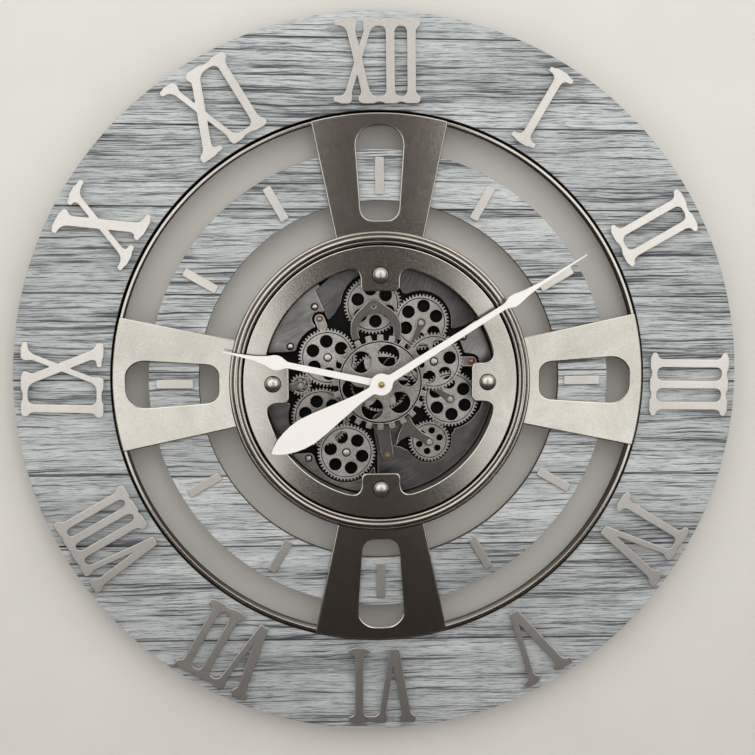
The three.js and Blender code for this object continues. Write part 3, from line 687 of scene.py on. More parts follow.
@dataclass(frozen=True)
class Plating(Finish):
    """Satin metal plating with a darker patina, rubbed edges, and near-black painted shade where the edge
    value is below 0.

    Attributes:
        shade: colour of the patina.
        rubbed: colour of worn edges.
        wear: strength of the edge wear.
        patina: strength of the patina.
        grain: fineness of the pebbled grain.
        bite: depth of the grain in metres.
        speckle: strength of the grain's dark specks.
    """

    shade: Colour = (0.12, 0.10, 0.08)
    rubbed: Colour = (0.85, 0.82, 0.76)
    wear: float = 0.7
    patina: float = 0.4
    grain: float = 900.0
    bite: float = 0.00002
    speckle: float = 0.35

    def dress(self, graph: Graph, shader: bpy.types.Node) -> None:
        """Mixes patina into the colour, then the rubbed edges, then near-black painted shade, and varies the
        gloss with the grain, the patina and the painted shade.
        """
        satin = graph.add("Group", node_tree=satin_group())
        satin.inputs["Grain"].default_value = self.grain
        rub_and_shade = graph.add("Group", node_tree=rub_and_shade_group())
        rub_and_shade.inputs["Amount"].default_value = self.wear
        tone, patina, height = satin.outputs
        aged = graph.math("MULTIPLY", patina, self.patina)
        worn = graph.mix(aged, self.colour, self.shade)
        speckled = graph.mix(self.speckle, worn, graph.ramp(tone, [(0.25, 0.2), (0.7, 1.0)]), "MULTIPLY")
        colour = graph.mix(rub_and_shade.outputs["Mask"], speckled, self.rubbed)
        # Painted shade: where the edge value is below 0 the colour goes near black, standing in for shade in
        # gaps, grooves and under contact rings.
        colour = graph.mix(rub_and_shade.outputs["Soot"], colour, (0.006, 0.006, 0.006))
        gloss = graph.math("MULTIPLY_ADD", tone, 0.16, self.rough - 0.08)
        gloss = graph.math("MULTIPLY_ADD", aged, 0.12, gloss)
        gloss = graph.math("MULTIPLY_ADD", rub_and_shade.outputs["Soot"], 0.4, gloss)
        graph.tree.links.new(colour, shader.inputs["Base Color"])
        graph.tree.links.new(gloss, shader.inputs["Roughness"])
        shader.inputs["Metallic"].default_value = 1.0
        self.bump(graph, shader, height, self.bite)


@dataclass(frozen=True)
class Brushed(Finish):
    """Dark metal brushed in sweeping arcs, with cloudy patches across the whole face.

    Attributes:
        bright: colour of the brushed highlights.
        wear: strength of the edge wear.
    """

    bright: Colour = (0.36, 0.36, 0.36)
    wear: float = 0.8

    def dress(self, graph: Graph, shader: bpy.types.Node) -> None:
        """Brush lines follow circles about a point off the dial: noise on the distance from it."""
        where = graph.add("TexCoord").outputs["Object"]
        swirl = graph.noise(where, 9, 2, 0.5)
        axis = graph.add("SeparateXYZ", {0: where}).outputs
        off_x = graph.math("ADD", axis[0], 0.16)
        off_z = graph.math("ADD", axis[2], -0.22)
        reach = graph.math("SQRT", graph.math("ADD", graph.math("MULTIPLY", off_x, off_x),
                                              graph.math("MULTIPLY", off_z, off_z)))
        bent = graph.math("MULTIPLY_ADD", swirl, 0.03, reach)
        angle = graph.math("ARCTAN2", off_x, off_z)
        seat = graph.add("CombineXYZ", {0: graph.math("MULTIPLY", bent, 900.0),
                                        1: graph.math("MULTIPLY", angle, 7.0)}).outputs[0]
        line = graph.noise(seat, 1, 4, 0.6)
        cloud = graph.noise(where, 26, 4, 0.6, 0.6)
        mixed = graph.math("ADD", graph.math("MULTIPLY", line, 0.55), graph.math("MULTIPLY", cloud, 0.65))
        tone = graph.ramp(mixed, [(0.38, self.colour), (0.62, tuple(0.5 * (a + b) for a, b in
                                                                   zip(self.colour, self.bright))),
                                  (0.8, self.bright)])
        rub_and_shade = graph.add("Group", node_tree=rub_and_shade_group())
        rub_and_shade.inputs["Amount"].default_value = self.wear
        colour = graph.mix(rub_and_shade.outputs["Mask"], tone, (0.62, 0.61, 0.58))
        graph.tree.links.new(colour, shader.inputs["Base Color"])
        graph.tree.links.new(graph.math("MULTIPLY_ADD", line, 0.3, self.rough - 0.15),
                             shader.inputs["Roughness"])
        shader.inputs["Metallic"].default_value = 1.0
        self.bump(graph, shader, line, 0.00003)


@dataclass(frozen=True)
class Boards(Finish):
    """Whitewashed plank print.

    Attributes:
        seams: heights of the seams between boards, in millimetres.
        lean: clockwise turn of the boards, in radians.
        seam_half: half the width of a seam, in metres.
    """

    seams: tuple[float, ...] = ()
    lean: float = 0.0
    seam_half: float = 0.0010

    def dress(self, graph: Graph, shader: bpy.types.Node) -> None:
        """Grain darkens a pale wash; dark lines mark the seams; the cut edge is bare and dark."""
        where = graph.add("TexCoord").outputs["Object"]
        axis = graph.add("SeparateXYZ", {0: where}).outputs
        level = graph.math("MULTIPLY_ADD", axis[0], math.tan(self.lean), axis[2])
        nearest: Any = 1.0
        count: Any = 0.0
        for seam in self.seams:
            gap = graph.math("ABSOLUTE", graph.math("SUBTRACT", level, seam * MM))
            nearest = graph.math("MINIMUM", gap, nearest)
            count = graph.math("ADD", graph.math("GREATER_THAN", level, seam * MM), count)
        board = graph.math("FRACT", graph.math("MULTIPLY", count, 0.618))
        seam_line = graph.math("MULTIPLY_ADD", nearest, -1 / self.seam_half, 1.25, clamp=True)
        grain = graph.add("Group", {0: board}, node_tree=grain_group())
        broad, streak, hair, wash = grain.outputs
        ground = graph.math("MULTIPLY_ADD", wash, 0.6, graph.math("MULTIPLY_ADD", broad, 0.7, 0.20))
        ground = graph.math("MULTIPLY_ADD", board, 0.10, ground)
        clumped = graph.math("MULTIPLY_ADD", broad, 0.34, graph.math("SUBTRACT", streak, 0.17))
        lines = graph.ramp(clumped, [(0.35, 0.14), (0.41, 0.42), (0.45, 0.90), (0.54, 1.0)])
        hairs = graph.ramp(hair, [(0.36, 0.42), (0.45, 0.86), (0.50, 1.0)])
        lit = graph.math("MULTIPLY", graph.math("MULTIPLY", lines, hairs), ground)
        tint = graph.ramp(lit, [(0.0, (0.010, 0.011, 0.014)), (0.35, (0.105, 0.115, 0.125)),
                                (0.70, (0.29, 0.32, 0.33)), (1.0, (0.47, 0.51, 0.515))])
        dark = graph.mix(seam_line, tint, (0.012, 0.013, 0.018))
        facing = graph.add("SeparateXYZ", {0: graph.add("NewGeometry").outputs["Normal"]}).outputs[1]
        side = graph.math("LESS_THAN", graph.math("ABSOLUTE", facing), 0.5)
        rear = graph.math("GREATER_THAN", facing, 0.5)
        coloured = graph.mix(side, dark, (0.09, 0.075, 0.06))
        coloured = graph.mix(rear, coloured, (0.20, 0.15, 0.10))
        graph.tree.links.new(coloured, shader.inputs["Base Color"])
        graph.tree.links.new(graph.math("MULTIPLY_ADD", hair, 0.25, self.rough - 0.12),
                             shader.inputs["Roughness"])
        relief = graph.math("SUBTRACT", graph.math("MULTIPLY", lit, 0.6),
                            graph.math("MULTIPLY", seam_line, 1.0))
        self.bump(graph, shader, relief, 0.0004)


@dataclass(frozen=True)
class Paint(Finish):
    """Paint, plastic or plaster: a near-even colour with fine unevenness.

    Attributes:
        grain: fineness of the unevenness.
        bite: its depth in metres.
        drift: how far the colour wanders.
        sheen: strength of its surface reflection.
    """

    grain: float = 700.0
    bite: float = 0.00001
    drift: float = 0.06
    sheen: float = 0.5

    def dress(self, graph: Graph, shader: bpy.types.Node) -> None:
        """A slow cloud moves the colour a little, and a fine noise roughens the skin."""
        where = graph.add("TexCoord").outputs["Object"]
        cloud = graph.noise(where, 7, 4)
        fine = graph.noise(where, self.grain, 2)
        darker = tuple(c * (1 - self.drift) for c in self.colour)
        colour = graph.mix(graph.math("MULTIPLY_ADD", cloud, 2.4, -0.7, clamp=True), self.colour, darker)
        graph.tree.links.new(colour, shader.inputs["Base Color"])
        graph.tree.links.new(graph.math("MULTIPLY_ADD", fine, 0.1, self.rough - 0.05),
                             shader.inputs["Roughness"])
        shader.inputs["Specular IOR Level"].default_value = self.sheen
        self.bump(graph, shader, fine, self.bite)


OUTER_SEAMS = (371.0, 277.0, 190.0, 96.0, 1.0, -104.0, -185.0, -294.0)
MIDDLE_SEAMS = (189.0, 97.0, 12.0, -104.0, -184.0)
OUTER_BOARDS = Boards("outer_boards", "wood_print", (0.5, 0.53, 0.55), 0.62, OUTER_SEAMS, 0.012)
MIDDLE_BOARDS = Boards("middle_boards", "wood_print", (0.5, 0.53, 0.55), 0.62, MIDDLE_SEAMS, 0.004)
PEWTER = Plating("rubbed_pewter", "antique_pewter", (0.64, 0.625, 0.57), 0.16, patina=0.26, wear=0.3,
                 bite=0.000005)
BEAD = Plating("bezel_pewter", "antique_pewter", (0.52, 0.49, 0.44), 0.18, patina=0.45, wear=0.6,
               grain=1200.0, bite=0.000005)
NUMERAL_SILVER = Plating("numeral_silver", "brushed_silver", (0.82, 0.81, 0.77), 0.38,
                         shade=(0.5, 0.46, 0.43),
                         patina=0.25, grain=1500.0, bite=0.00001)
GEAR_STEEL = Plating("aged_gear_steel", "gear_steel", (0.66, 0.64, 0.61), 0.42, patina=0.6, wear=0.9,
                     grain=620.0,
                     speckle=0.7)
BRIDGE_STEEL = Plating("bridge_steel", "gear_steel", (0.22, 0.21, 0.20), 0.34, patina=0.7, wear=1.0,
                       grain=700.0)
WALL_STEEL = Plating("well_wall", "dark_metal", (0.36, 0.355, 0.34), 0.34, patina=0.5, wear=0.3, grain=900.0)
PALE_STEEL = Plating("pale_gear_steel", "gear_steel", (0.78, 0.76, 0.73), 0.42, patina=0.45, wear=0.9,
                     grain=620.0,
                     speckle=0.6)
POLISHED = Plating("polished_dome", "polished_steel", (0.70, 0.67, 0.63), 0.34, patina=0.2, wear=0.0)
ZINC = Plating("zinc_plate", "zinc_steel", (0.62, 0.63, 0.65), 0.34, shade=(0.35, 0.36, 0.38))
BRASS = Plating("satin_brass", "brass", (0.72, 0.50, 0.22), 0.28, shade=(0.25, 0.15, 0.06),
                rubbed=(0.95, 0.8, 0.5))
COPPER = Plating("dark_copper", "brass", (0.45, 0.24, 0.14), 0.34, shade=(0.15, 0.07, 0.04),
                 rubbed=(0.8, 0.55, 0.4))
DARK = Brushed("dark_brushed", "dark_metal", (0.05, 0.05, 0.05), 0.40, bright=(0.24, 0.24, 0.235))
PAD = Brushed("pale_brushed", "dark_metal", (0.13, 0.13, 0.13), 0.34, bright=(0.46, 0.46, 0.45))
# Near black with little sheen: painted shade for the floor of the gear well.
PAINTED_SHADE_FLOOR = Paint("painted_shade_floor", "dark_metal", (0.006, 0.006, 0.006), 0.8, sheen=0.1)
HAND_WHITE = Paint("hand_white", "white_paint", (0.72, 0.72, 0.705), 0.5, drift=0.03)
BLACK_PAINT = Paint("satin_black_paint", "black_paint", (0.03, 0.03, 0.032), 0.45, grain=1500.0, bite=0.00004)
PLASTIC = Paint("moulded_black_plastic", "black_plastic", (0.022, 0.022, 0.024), 0.5, grain=2200.0,
                bite=0.00004)


# ---------------------------------------------------------------- making pieces


def make_piece(name: str, shell: Shell, finish: Finish, body: str, *nodes: str) -> bpy.types.Object:
    """Turns a skin into a mesh object on a body.

    Args:
        name: the piece's name.
        shell: its skin in millimetres.
        finish: its finish.
        body: the body that carries it.
        nodes: the frame's nodes that it stands for.

    Returns:
        The object.
    """
    mesh = bpy.data.meshes.new(name)
    place = np.column_stack([shell.points[:, 0], -shell.points[:, 1], shell.points[:, 2]]) * MM
    mesh.from_pydata(place.tolist(), [], [row for block_ in shell.faces for row in block_.tolist()])
    # The edge attribute holds wear above 0 and painted shade below 0.
    mesh.attributes.new("edge", "FLOAT", "POINT").data.foreach_set("value", shell.edge.astype(np.float32))
    edit = bmesh.new()
    edit.from_mesh(mesh)
    bmesh.ops.remove_doubles(edit, verts=edit.verts, dist=1e-7)
    edit.to_mesh(mesh)
    edit.free()
    mesh.validate()
    normals = np.empty(len(mesh.polygons) * 3)
    mesh.polygons.foreach_get("normal", normals)
    level = np.abs(normals.reshape(-1, 3)[:, 1]) > 0.99995
    mesh.set_sharp_from_angle(angle=math.radians(38))
    mesh.polygons.foreach_set("use_smooth", ~level)
    piece = bpy.data.objects.new(name, mesh)
    bpy.context.scene.collection.objects.link(piece)
    mesh.materials.append(finish.material())
    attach(piece, body)
    if nodes:
        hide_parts(*nodes)
    LOG.info("%s: %d faces on %s", name, len(mesh.polygons), body)
    return piece


def coat(frame: dict[str, Any], finish: Finish, *nodes: str) -> None:
    """Gives nodes of the frame a finish."""
    for name in nodes:
        materials = frame["nodes"][name].data.materials
        materials.clear()
        materials.append(finish.material())


def depths(node: str) -> tuple[float, float]:
    """Depths of a node's back and front, in millimetres."""
    low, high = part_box(node)
    return -high.y / MM, -low.y / MM


# ---------------------------------------------------------------- the dial


@dataclass
class Dial:
    """The two wood-print rings, the hour bars and the trim ring between them."""

    outer_r: float = 400.0
    outer_hole: float = 295.5
    middle_r: float = 253.5
    middle_hole: float = 199.0
    bar_r: float = 225.0
    bar_long: float = 40.0
    bar_wide: float = 9.4
    trim_in: float = 288.5
    trim_out: float = 291.8
    flange_r: float = 306.0

    def ring(self, inner: float, outer: float, back: float, front: float) -> Shell:
        """A flat ring with slightly rounded edges."""
        profile = rounded([(inner, back, 0.5), (outer, back, 0.5), (outer, front, 0.5), (inner, front, 0.5)],
                          3)
        return revolve(profile, 360)

    def build(self) -> None:
        """Makes the rings and the bars."""
        back, front = depths("outer_wood_ring")
        make_piece("outer_wood_print", self.ring(self.outer_hole, self.outer_r, back, front), OUTER_BOARDS,
                   "frame", "outer_wood_ring")
        back, front = depths("middle_wood_ring")
        top = front - 2.6
        make_piece("middle_wood_print", self.ring(self.middle_hole, self.middle_r, back, top), MIDDLE_BOARDS,
                   "frame", "middle_wood_ring")
        area = block(0, self.bar_r, self.bar_wide / 2, self.bar_long / 2, 0.5)
        low, high = (-8.0, self.bar_r - 24), (8.0, self.bar_r + 24)
        shape = cut_slab(area, low, high, top + 0.05, front, 0.35, 0.25, 0.8)
        for hour in range(1, 13):
            make_piece(f"hour_bar_{hour:02d}", shape.spun(math.radians(30 * hour)), NUMERAL_SILVER, "frame")
        back, front = depths("trim_ring")
        lip = rounded([
            (self.trim_in, back, 0.3), (self.flange_r, back, 0.5), (self.flange_r, back + 2, 0.5),
            (self.trim_out, back + 2, 0.6), (self.trim_out, front, 0.7), (self.trim_in, front, 0.7),
        ], 4)
        # Painted shade: the flange and the back of the lip, seen in the gap by the outer ring, go near black;
        # the rest carries light wear.
        painted_gap_shade = np.where(lip[:, 1] < front - 6, -1.0, 0.2)
        make_piece("rolled_trim_ring", revolve(lip, 360, painted_gap_shade), PEWTER, "frame", "trim_ring")


@dataclass
class Arms:
    """The four slotted arms, pressed from sheet with softly rolled edges."""

    out_r: float = 292.0
    in_r: float = 151.0
    out_half: float = 74.0
    bezel_r: float = 165.5
    bezel_half: float = 48.0
    edge: float = 1.25

    def area(self) -> Area:
        """A tapered strip between two circles, less a tapered slot with large round corners."""
        high = math.sqrt(self.out_r ** 2 - self.out_half ** 2)
        low = math.sqrt(self.bezel_r ** 2 - self.bezel_half ** 2)
        slope = (self.out_half - self.bezel_half) / (high - low)
        foot, crown = self.in_r - 25, self.out_r + 5
        strip = wedge(foot, crown, self.bezel_half - slope * (low - foot),
                      self.out_half + slope * (crown - high))
        sector = overlap(strip, disc(0, 0, self.out_r), lambda x, z: self.in_r - np.hypot(x, z))
        slot = rounded([(20, 177, 13), (27, 278, 20), (-27, 278, 20), (-20, 177, 13)])
        return cut(sector, polygon(*[(float(x), float(z)) for x, z in slot]))

    def build(self) -> None:
        """Makes one arm's plate and turns it to the four sides."""
        back, front = depths("arm_top")
        shape = cut_slab(self.area(), (-82.0, 135.0), (82.0, 300.0), back, front, self.edge, 0.6, 1.3)
        for side in Side:
            name = side.name.lower()
            make_piece(f"{name}_arm", shape.spun(math.radians(side.value)), PEWTER, "frame", f"arm_{name}")


@dataclass
class Bezel:
    """The beaded bezel, the front plate with its four tabs, and the cap nuts."""

    inner: float = 151.0
    outer: float = 165.5
    plate_r: float = 150.4
    window_r: float = 128.5
    tab_half: float = 21.5
    tab_reach: float = 100.5
    nut_r: float = 118.0

    def beads(self, back: float, front: float) -> tuple[np.ndarray, np.ndarray]:
        """Profile of three rounded beads that rise and then fall, each an arc of a circle.

        Args:
            back: depth of the flat back.
            front: depth of the tallest bead's crown.

        Returns:
            Radius and depth of each point, and its wear and painted shade: rubbed bright on the crowns,
            painted shade in the valleys and on the inner wall.
        """
        parts = [np.array([[self.inner, back], [self.outer, back]])]
        # A value below 0 is painted shade: the inner wall and the valleys between the beads go near black.
        wear = [np.array([-1.0, 0.0])]
        for middle, crown, radius, first, last in (
            (self.outer - 2.4, front - 4.4, 2.4, -10, 150),
            (self.outer - 7.2, front, 3.1, 20, 165),
            (self.outer - 11.6, front - 2.2, 2.0, 25, 172),
        ):
            angle = np.radians(np.linspace(first, last, 12))
            centre = crown - radius
            parts.append(np.column_stack([middle + radius * np.cos(angle), centre + radius * np.sin(angle)]))
            wear.append(np.minimum(np.sin(angle) * 1.8 - 1.2, 0.35))
        parts.append(np.array([[self.inner, front - 5.6]]))
        return np.vstack(parts), np.concatenate([*wear, [-1.0]])

    def window(self) -> Area:
        """The window: a disc less four tabs that flare into its edge."""
        tabs = []
        for side in Side:
            a = math.radians(side.value)
            s, c = math.sin(a), math.cos(a)

            def tab(x: np.ndarray, z: np.ndarray, s: float = s, c: float = c) -> np.ndarray:
                """A round-cornered block that reaches in from beyond the window's edge."""
                along, across = x * s + z * c, x * c - z * s
                reach = block(0, self.tab_reach + 30, self.tab_half, 30, 5.5)
                return reach(across, along)

            tabs.append(tab)
        outside = lambda x, z: self.window_r - np.hypot(x, z)
        plate = blended(outside, union(*tabs), 15)
        return lambda x, z: -plate(x, z)

    def build(self) -> None:
        """Makes the bezel, the plate and the nuts."""
        back, front = depths("bezel")
        profile, wear = self.beads(back, front)
        make_piece("beaded_bezel", revolve(profile, 300, wear), BEAD, "frame", "bezel")
        back, front = depths("front_plate")
        size = self.window_r + 4
        hole = [loop[::-1] for loop in contour(self.window(), (-size, -size), (size, size), 0.6, 1.1)]
        rim = circle(0, 0, self.plate_r, 360)
        make_piece("tabbed_front_plate", slab([rim, *hole], back, front, 1.2, 4), PEWTER, "frame",
                   "front_plate")
        for side in Side:
            name = side.name.lower()
            back, front = depths(f"cap_nut_{name}")
            seat = depths("front_plate")[1] + 0.05
            centre = (self.nut_r * math.sin(math.radians(side.value)),
                      self.nut_r * math.cos(math.radians(side.value)))
            ring = [(5, seat, 0.1), (9.3, seat, 0.1), (9.3, seat + 0.3, 0.1), (5, seat + 0.3, 0.1)]
            # A thin ring painted near black round the nut's foot: a painted contact shadow.
            painted_shadow_ring = revolve(rounded(ring, 2), 48, -1.0)
            nut = merged([painted_shadow_ring, dome(8.4, front - seat - 0.3, seat + 0.3, 0.8, 48),
                          post(2, back, seat + 1)])
            make_piece(f"{name}_cap_nut", nut.moved(centre[0], 0, centre[1]), POLISHED, "frame",
                       f"cap_nut_{name}")


# ---------------------------------------------------------------- numerals


THICK = 9.0
THIN = 6.8


@dataclass(frozen=True)
class Numeral:
    """A Roman numeral cut from sheet.

    Attributes:
        name: its letters.
        strokes: foot, top and width of each stroke.
        tops: ends of each serif bar at the outer side.
        feet: ends of each serif bar at the inner side.
        lean: its turn off the hour line, in degrees clockwise.
    """

    name: str
    strokes: tuple[tuple[float, float, float], ...]
    tops: tuple[Point, ...]
    feet: tuple[Point, ...]
    lean: float = 0.0


@dataclass
class Numerals:
    """The twelve numerals, standing off the wood on pegs."""

    radius: float = 345.5
    tall: float = 85.0
    serif: float = 5.8
    serif_corner: float = 1.9
    bracket: float = 7.5
    peg_r: float = 2.5
    shapes: tuple[Numeral, ...] = (
        Numeral("i", ((0, 0, THICK),), ((-14.6, 14.6),), ((-14.6, 14.6),), lean=0.7),
        Numeral("ii", ((-13.3, -13.3, THICK), (13.3, 13.3, THICK)), ((-25.5, 25.5),), ((-25.5, 25.5),),
                lean=1.0),
        Numeral("iii", ((-23.8, -23.8, THICK), (0, 0, THICK), (23.8, 23.8, THICK)), ((-35.4, 35.4),),
                ((-35.4, 35.4),), lean=1.0),
        Numeral("iv", ((-25, -25, THICK), (12, -3, THIN), (14, 31, THICK + 1)), ((-37, 6), (21, 40)),
                ((-37, -13),), lean=1.5),
        Numeral("v", ((-1, -20, THICK + 1), (1, 20, THIN)), ((-32, -9), (10, 30)), (), lean=0.5),
        Numeral("vi", ((-16, -31, THICK + 1), (-14, -1, THIN), (24, 24, THICK)), ((-40, -22), (-7, 36)),
                ((12, 36),), lean=0.2),
        Numeral("vii", ((-24, -38, THICK + 1), (-22, -11, THIN), (10, 10, THICK), (32.7, 32.7, THICK)),
                ((-46, -28), (-17, 44)), ((-1, 44),)),
        Numeral("viii", ((-28, -39, THICK), (-26, -18, THIN), (-1, -1, THICK), (17.5, 17.5, THICK),
                         (36, 36, THICK)), ((-46, -31), (-24, 44)), ((-10, 44),), lean=0.5),
        Numeral("ix", ((-36, -36, THICK), (28, -8, THICK + 1.5), (-8, 24, THIN)), ((-45, 4), (17, 36)),
                ((-45, -2), (10, 36)), lean=1.8),
        Numeral("x", ((19, -19, THICK + 3), (-19, 15, THIN + 0.6)), ((-33.5, -5), (1, 30.5)),
                ((-33.5, -3.5), (3.5, 34)), lean=0.2),
        Numeral("xi", ((-28, 8, THICK + 1.5), (8, -24, THIN), (36, 36, THICK)), ((-36, -17), (-4, 45)),
                ((-36, -10), (2, 45)), lean=-1.6),
        Numeral("xii", ((-10, -30, THICK), (-34, -7, THIN), (14.3, 14.3, THICK), (37, 37, THICK)),
                ((-45, -23), (-13, 46)), ((-47, -29), (-20, 46)), lean=-0.4),
    )

    def stroke(self, foot: float, top: float, width: float) -> Area:
        """A straight stroke: distance to its middle line, less half its width across."""
        slope = (top - foot) / self.tall
        scale = 1 / math.hypot(1, slope)
        middle = (top + foot) / 2
        return lambda x, z: (np.abs(x - middle - slope * z) - width / 2) * scale

    def area(self, numeral: Numeral) -> Area:
        """Strokes cut off at the numeral's height, joined to serif bars with hollow fillets."""
        half = self.tall / 2
        stems = union(*[self.stroke(*stroke) for stroke in numeral.strokes])
        stems = overlap(stems, lambda x, z: np.abs(z) - half)
        bars = [block((a + b) / 2, half - self.serif / 2, (b - a) / 2, self.serif / 2, self.serif_corner)
                for a, b in numeral.tops]
        bars += [block((a + b) / 2, self.serif / 2 - half, (b - a) / 2, self.serif / 2, self.serif_corner)
                 for a, b in numeral.feet]
        return blended(stems, union(*bars), self.bracket)

    def build(self) -> None:
        """Cuts each numeral and sets it on its hour line."""
        wood = depths("outer_wood_ring")[1]
        for index, numeral in enumerate(self.shapes):
            node = f"numeral_{numeral.name}"
            front = depths(node)[1]
            plate = cut_slab(self.area(numeral), (-52.0, -46.0), (52.0, 46.0), front - 3, front, 0.45, 0.5,
                             1.0)
            pegs = []
            for share, (foot, top, _) in ((0.28, numeral.strokes[0]), (0.72, numeral.strokes[-1])):
                peg = post(self.peg_r, wood + 0.05, front - 2.5)
                pegs.append(peg.moved(foot + (top - foot) * share, 0, self.tall * (share - 0.5)))
            angle = math.radians(30 * (index + 1) + numeral.lean)
            centre = (self.radius * math.sin(angle), self.radius * math.cos(angle))
            make_piece(f"cut_{node}", merged([plate, *pegs]).spun(angle, centre), NUMERAL_SILVER, "frame",
                       node)


# ---------------------------------------------------------------- wheels


@dataclass
class Wheel:
    """A toothed wheel with a raised web, six holes and a hub.

    Attributes:
        node: its node in the frame.
        teeth: its tooth count.
        hole_r: radius of the holes.
        hole_ring: radius of the circle of hole centres.
        pinion: tooth count of the pinion behind it, or 0.
        finish: its finish.
        hole_turn: angle of the first hole, in degrees.
    """

    node: str
    teeth: int
    hole_r: float = 7.2
    hole_ring: float = 18.0
    pinion: int = 0
    finish: Finish = GEAR_STEEL
    hole_turn: float = 15.0
    module: float = 1.25
    thick: float = 2.5
    hub_r: float = 3.6

    def centre(self, frame: dict[str, Any]) -> Point:
        """The wheel's axis, from its joint."""
        joint = next(j for j in frame["joints"] if j["child"] == self.node)
        return joint["pos_m"][0] / MM, joint["pos_m"][2] / MM

    def phase(self, frame: dict[str, Any]) -> float:
        """Angle of a tooth: the mean angle of the tips of the node's own teeth, wrapped to a pitch."""
        mesh = frame["nodes"][self.node].data
        place = np.empty(len(mesh.vertices) * 3)
        mesh.vertices.foreach_get("co", place)
        x, z = place.reshape(-1, 3)[:, 0] / MM, place.reshape(-1, 3)[:, 2] / MM
        cx, cz = self.centre(frame)
        radius, angle = np.hypot(x - cx, z - cz), np.arctan2(z - cz, x - cx)
        tips = angle[radius > self.module * self.teeth / 2 + 0.8 * self.module]
        return float(np.angle(np.mean(np.exp(1j * self.teeth * tips)))) / self.teeth

    def tooth_radius(self, teeth: int, turn: np.ndarray) -> np.ndarray:
        """Radius of a toothed outline: a trapezoid wave of the angle, counted in teeth."""
        pitch_r = self.module * teeth / 2
        tip, root = pitch_r + 0.85 * self.module, pitch_r - 1.25 * self.module
        share = np.array([-0.5, -0.30, -0.14, -0.10, 0.10, 0.14, 0.30, 0.5])
        high = np.array([root, root, tip - 0.2, tip, tip, tip - 0.2, root, root])
        return np.interp((turn + 0.5) % 1 - 0.5, share, high)

    def rim(self, teeth: int) -> np.ndarray:
        """Outline of a toothed rim, with the same few points on each tooth."""
        share = np.array([-0.40, -0.30, -0.22, -0.14, -0.10, 0.10, 0.14, 0.22, 0.30, 0.40])
        turn = (np.arange(teeth)[:, None] + share[None]).ravel()
        radius = self.tooth_radius(teeth, turn)
        return np.column_stack([radius * np.cos(turn * TURN / teeth), radius * np.sin(turn * TURN / teeth)])

    def hole_centres(self) -> list[Point]:
        """Centres of the six round holes."""
        angle = math.radians(self.hole_turn) + np.arange(6) * TURN / 6
        return [(self.hole_ring * math.cos(a), self.hole_ring * math.sin(a)) for a in angle]

    def holes(self) -> list[np.ndarray]:
        """The six round holes."""
        return [circle(x, z, self.hole_r, 32, True) for x, z in self.hole_centres()]

    def pinion_loops(self) -> list[np.ndarray]:
        """Outline of the pinion behind the web, with the holes carried through it."""
        area = cut(lambda x, z: np.hypot(x, z) - self.tooth_radius(self.pinion,
                                                                   np.arctan2(z, x) * self.pinion / TURN),
                   *[disc(x, z, self.hole_r + 0.4) for x, z in self.hole_centres()])
        reach = self.module * (self.pinion / 2 + 2)
        return [loop for loop in contour(area, (-reach, -reach), (reach, reach), 0.3, 0.45) if len(loop) > 12]

    def build(self, frame: dict[str, Any]) -> None:
        """Makes the rim, the web inside a scribed line painted dark as shade, the pinion and the hub as one
        piece.
        """
        back, front = depths(self.node)
        face = front - 1.2
        line_r = self.module * self.teeth / 2 - 2.9 * self.module
        plate_back = face - self.thick
        seat = circle(0, 0, self.hub_r + 1.3, 32, True)
        shells = [
            slab([self.rim(self.teeth), circle(0, 0, line_r + 0.5, 96, True)], plate_back, face, 0.16, 2),
            slab([circle(0, 0, line_r - 0.5, 96), *self.holes(), seat], face - 1.5, face, 0.16, 2),
            # A slab painted fully dark under the scribed line: painted shade in the groove.
            slab([circle(0, 0, line_r + 1, 96), *self.holes()], plate_back + 0.1, face - 1.1, 0.1, 1,
                 soot=1.0),
            post(2.0, back, face, 0.3),
            dome(self.hub_r, front - face + 0.9, face - 1.2, 1.3, 32),
        ]
        if self.pinion:
            pinion_back = plate_back - (4.6 if self.node == "wheel_top_right" else 5.4)
            shells.append(slab(self.pinion_loops(), pinion_back, plate_back + 0.2, 0.15, 2))
        name = f"{self.node.removeprefix('wheel_')}_wheel"
        make_piece(name, merged(shells).spun(-self.phase(frame), self.centre(frame)), self.finish, self.node,
                   self.node)


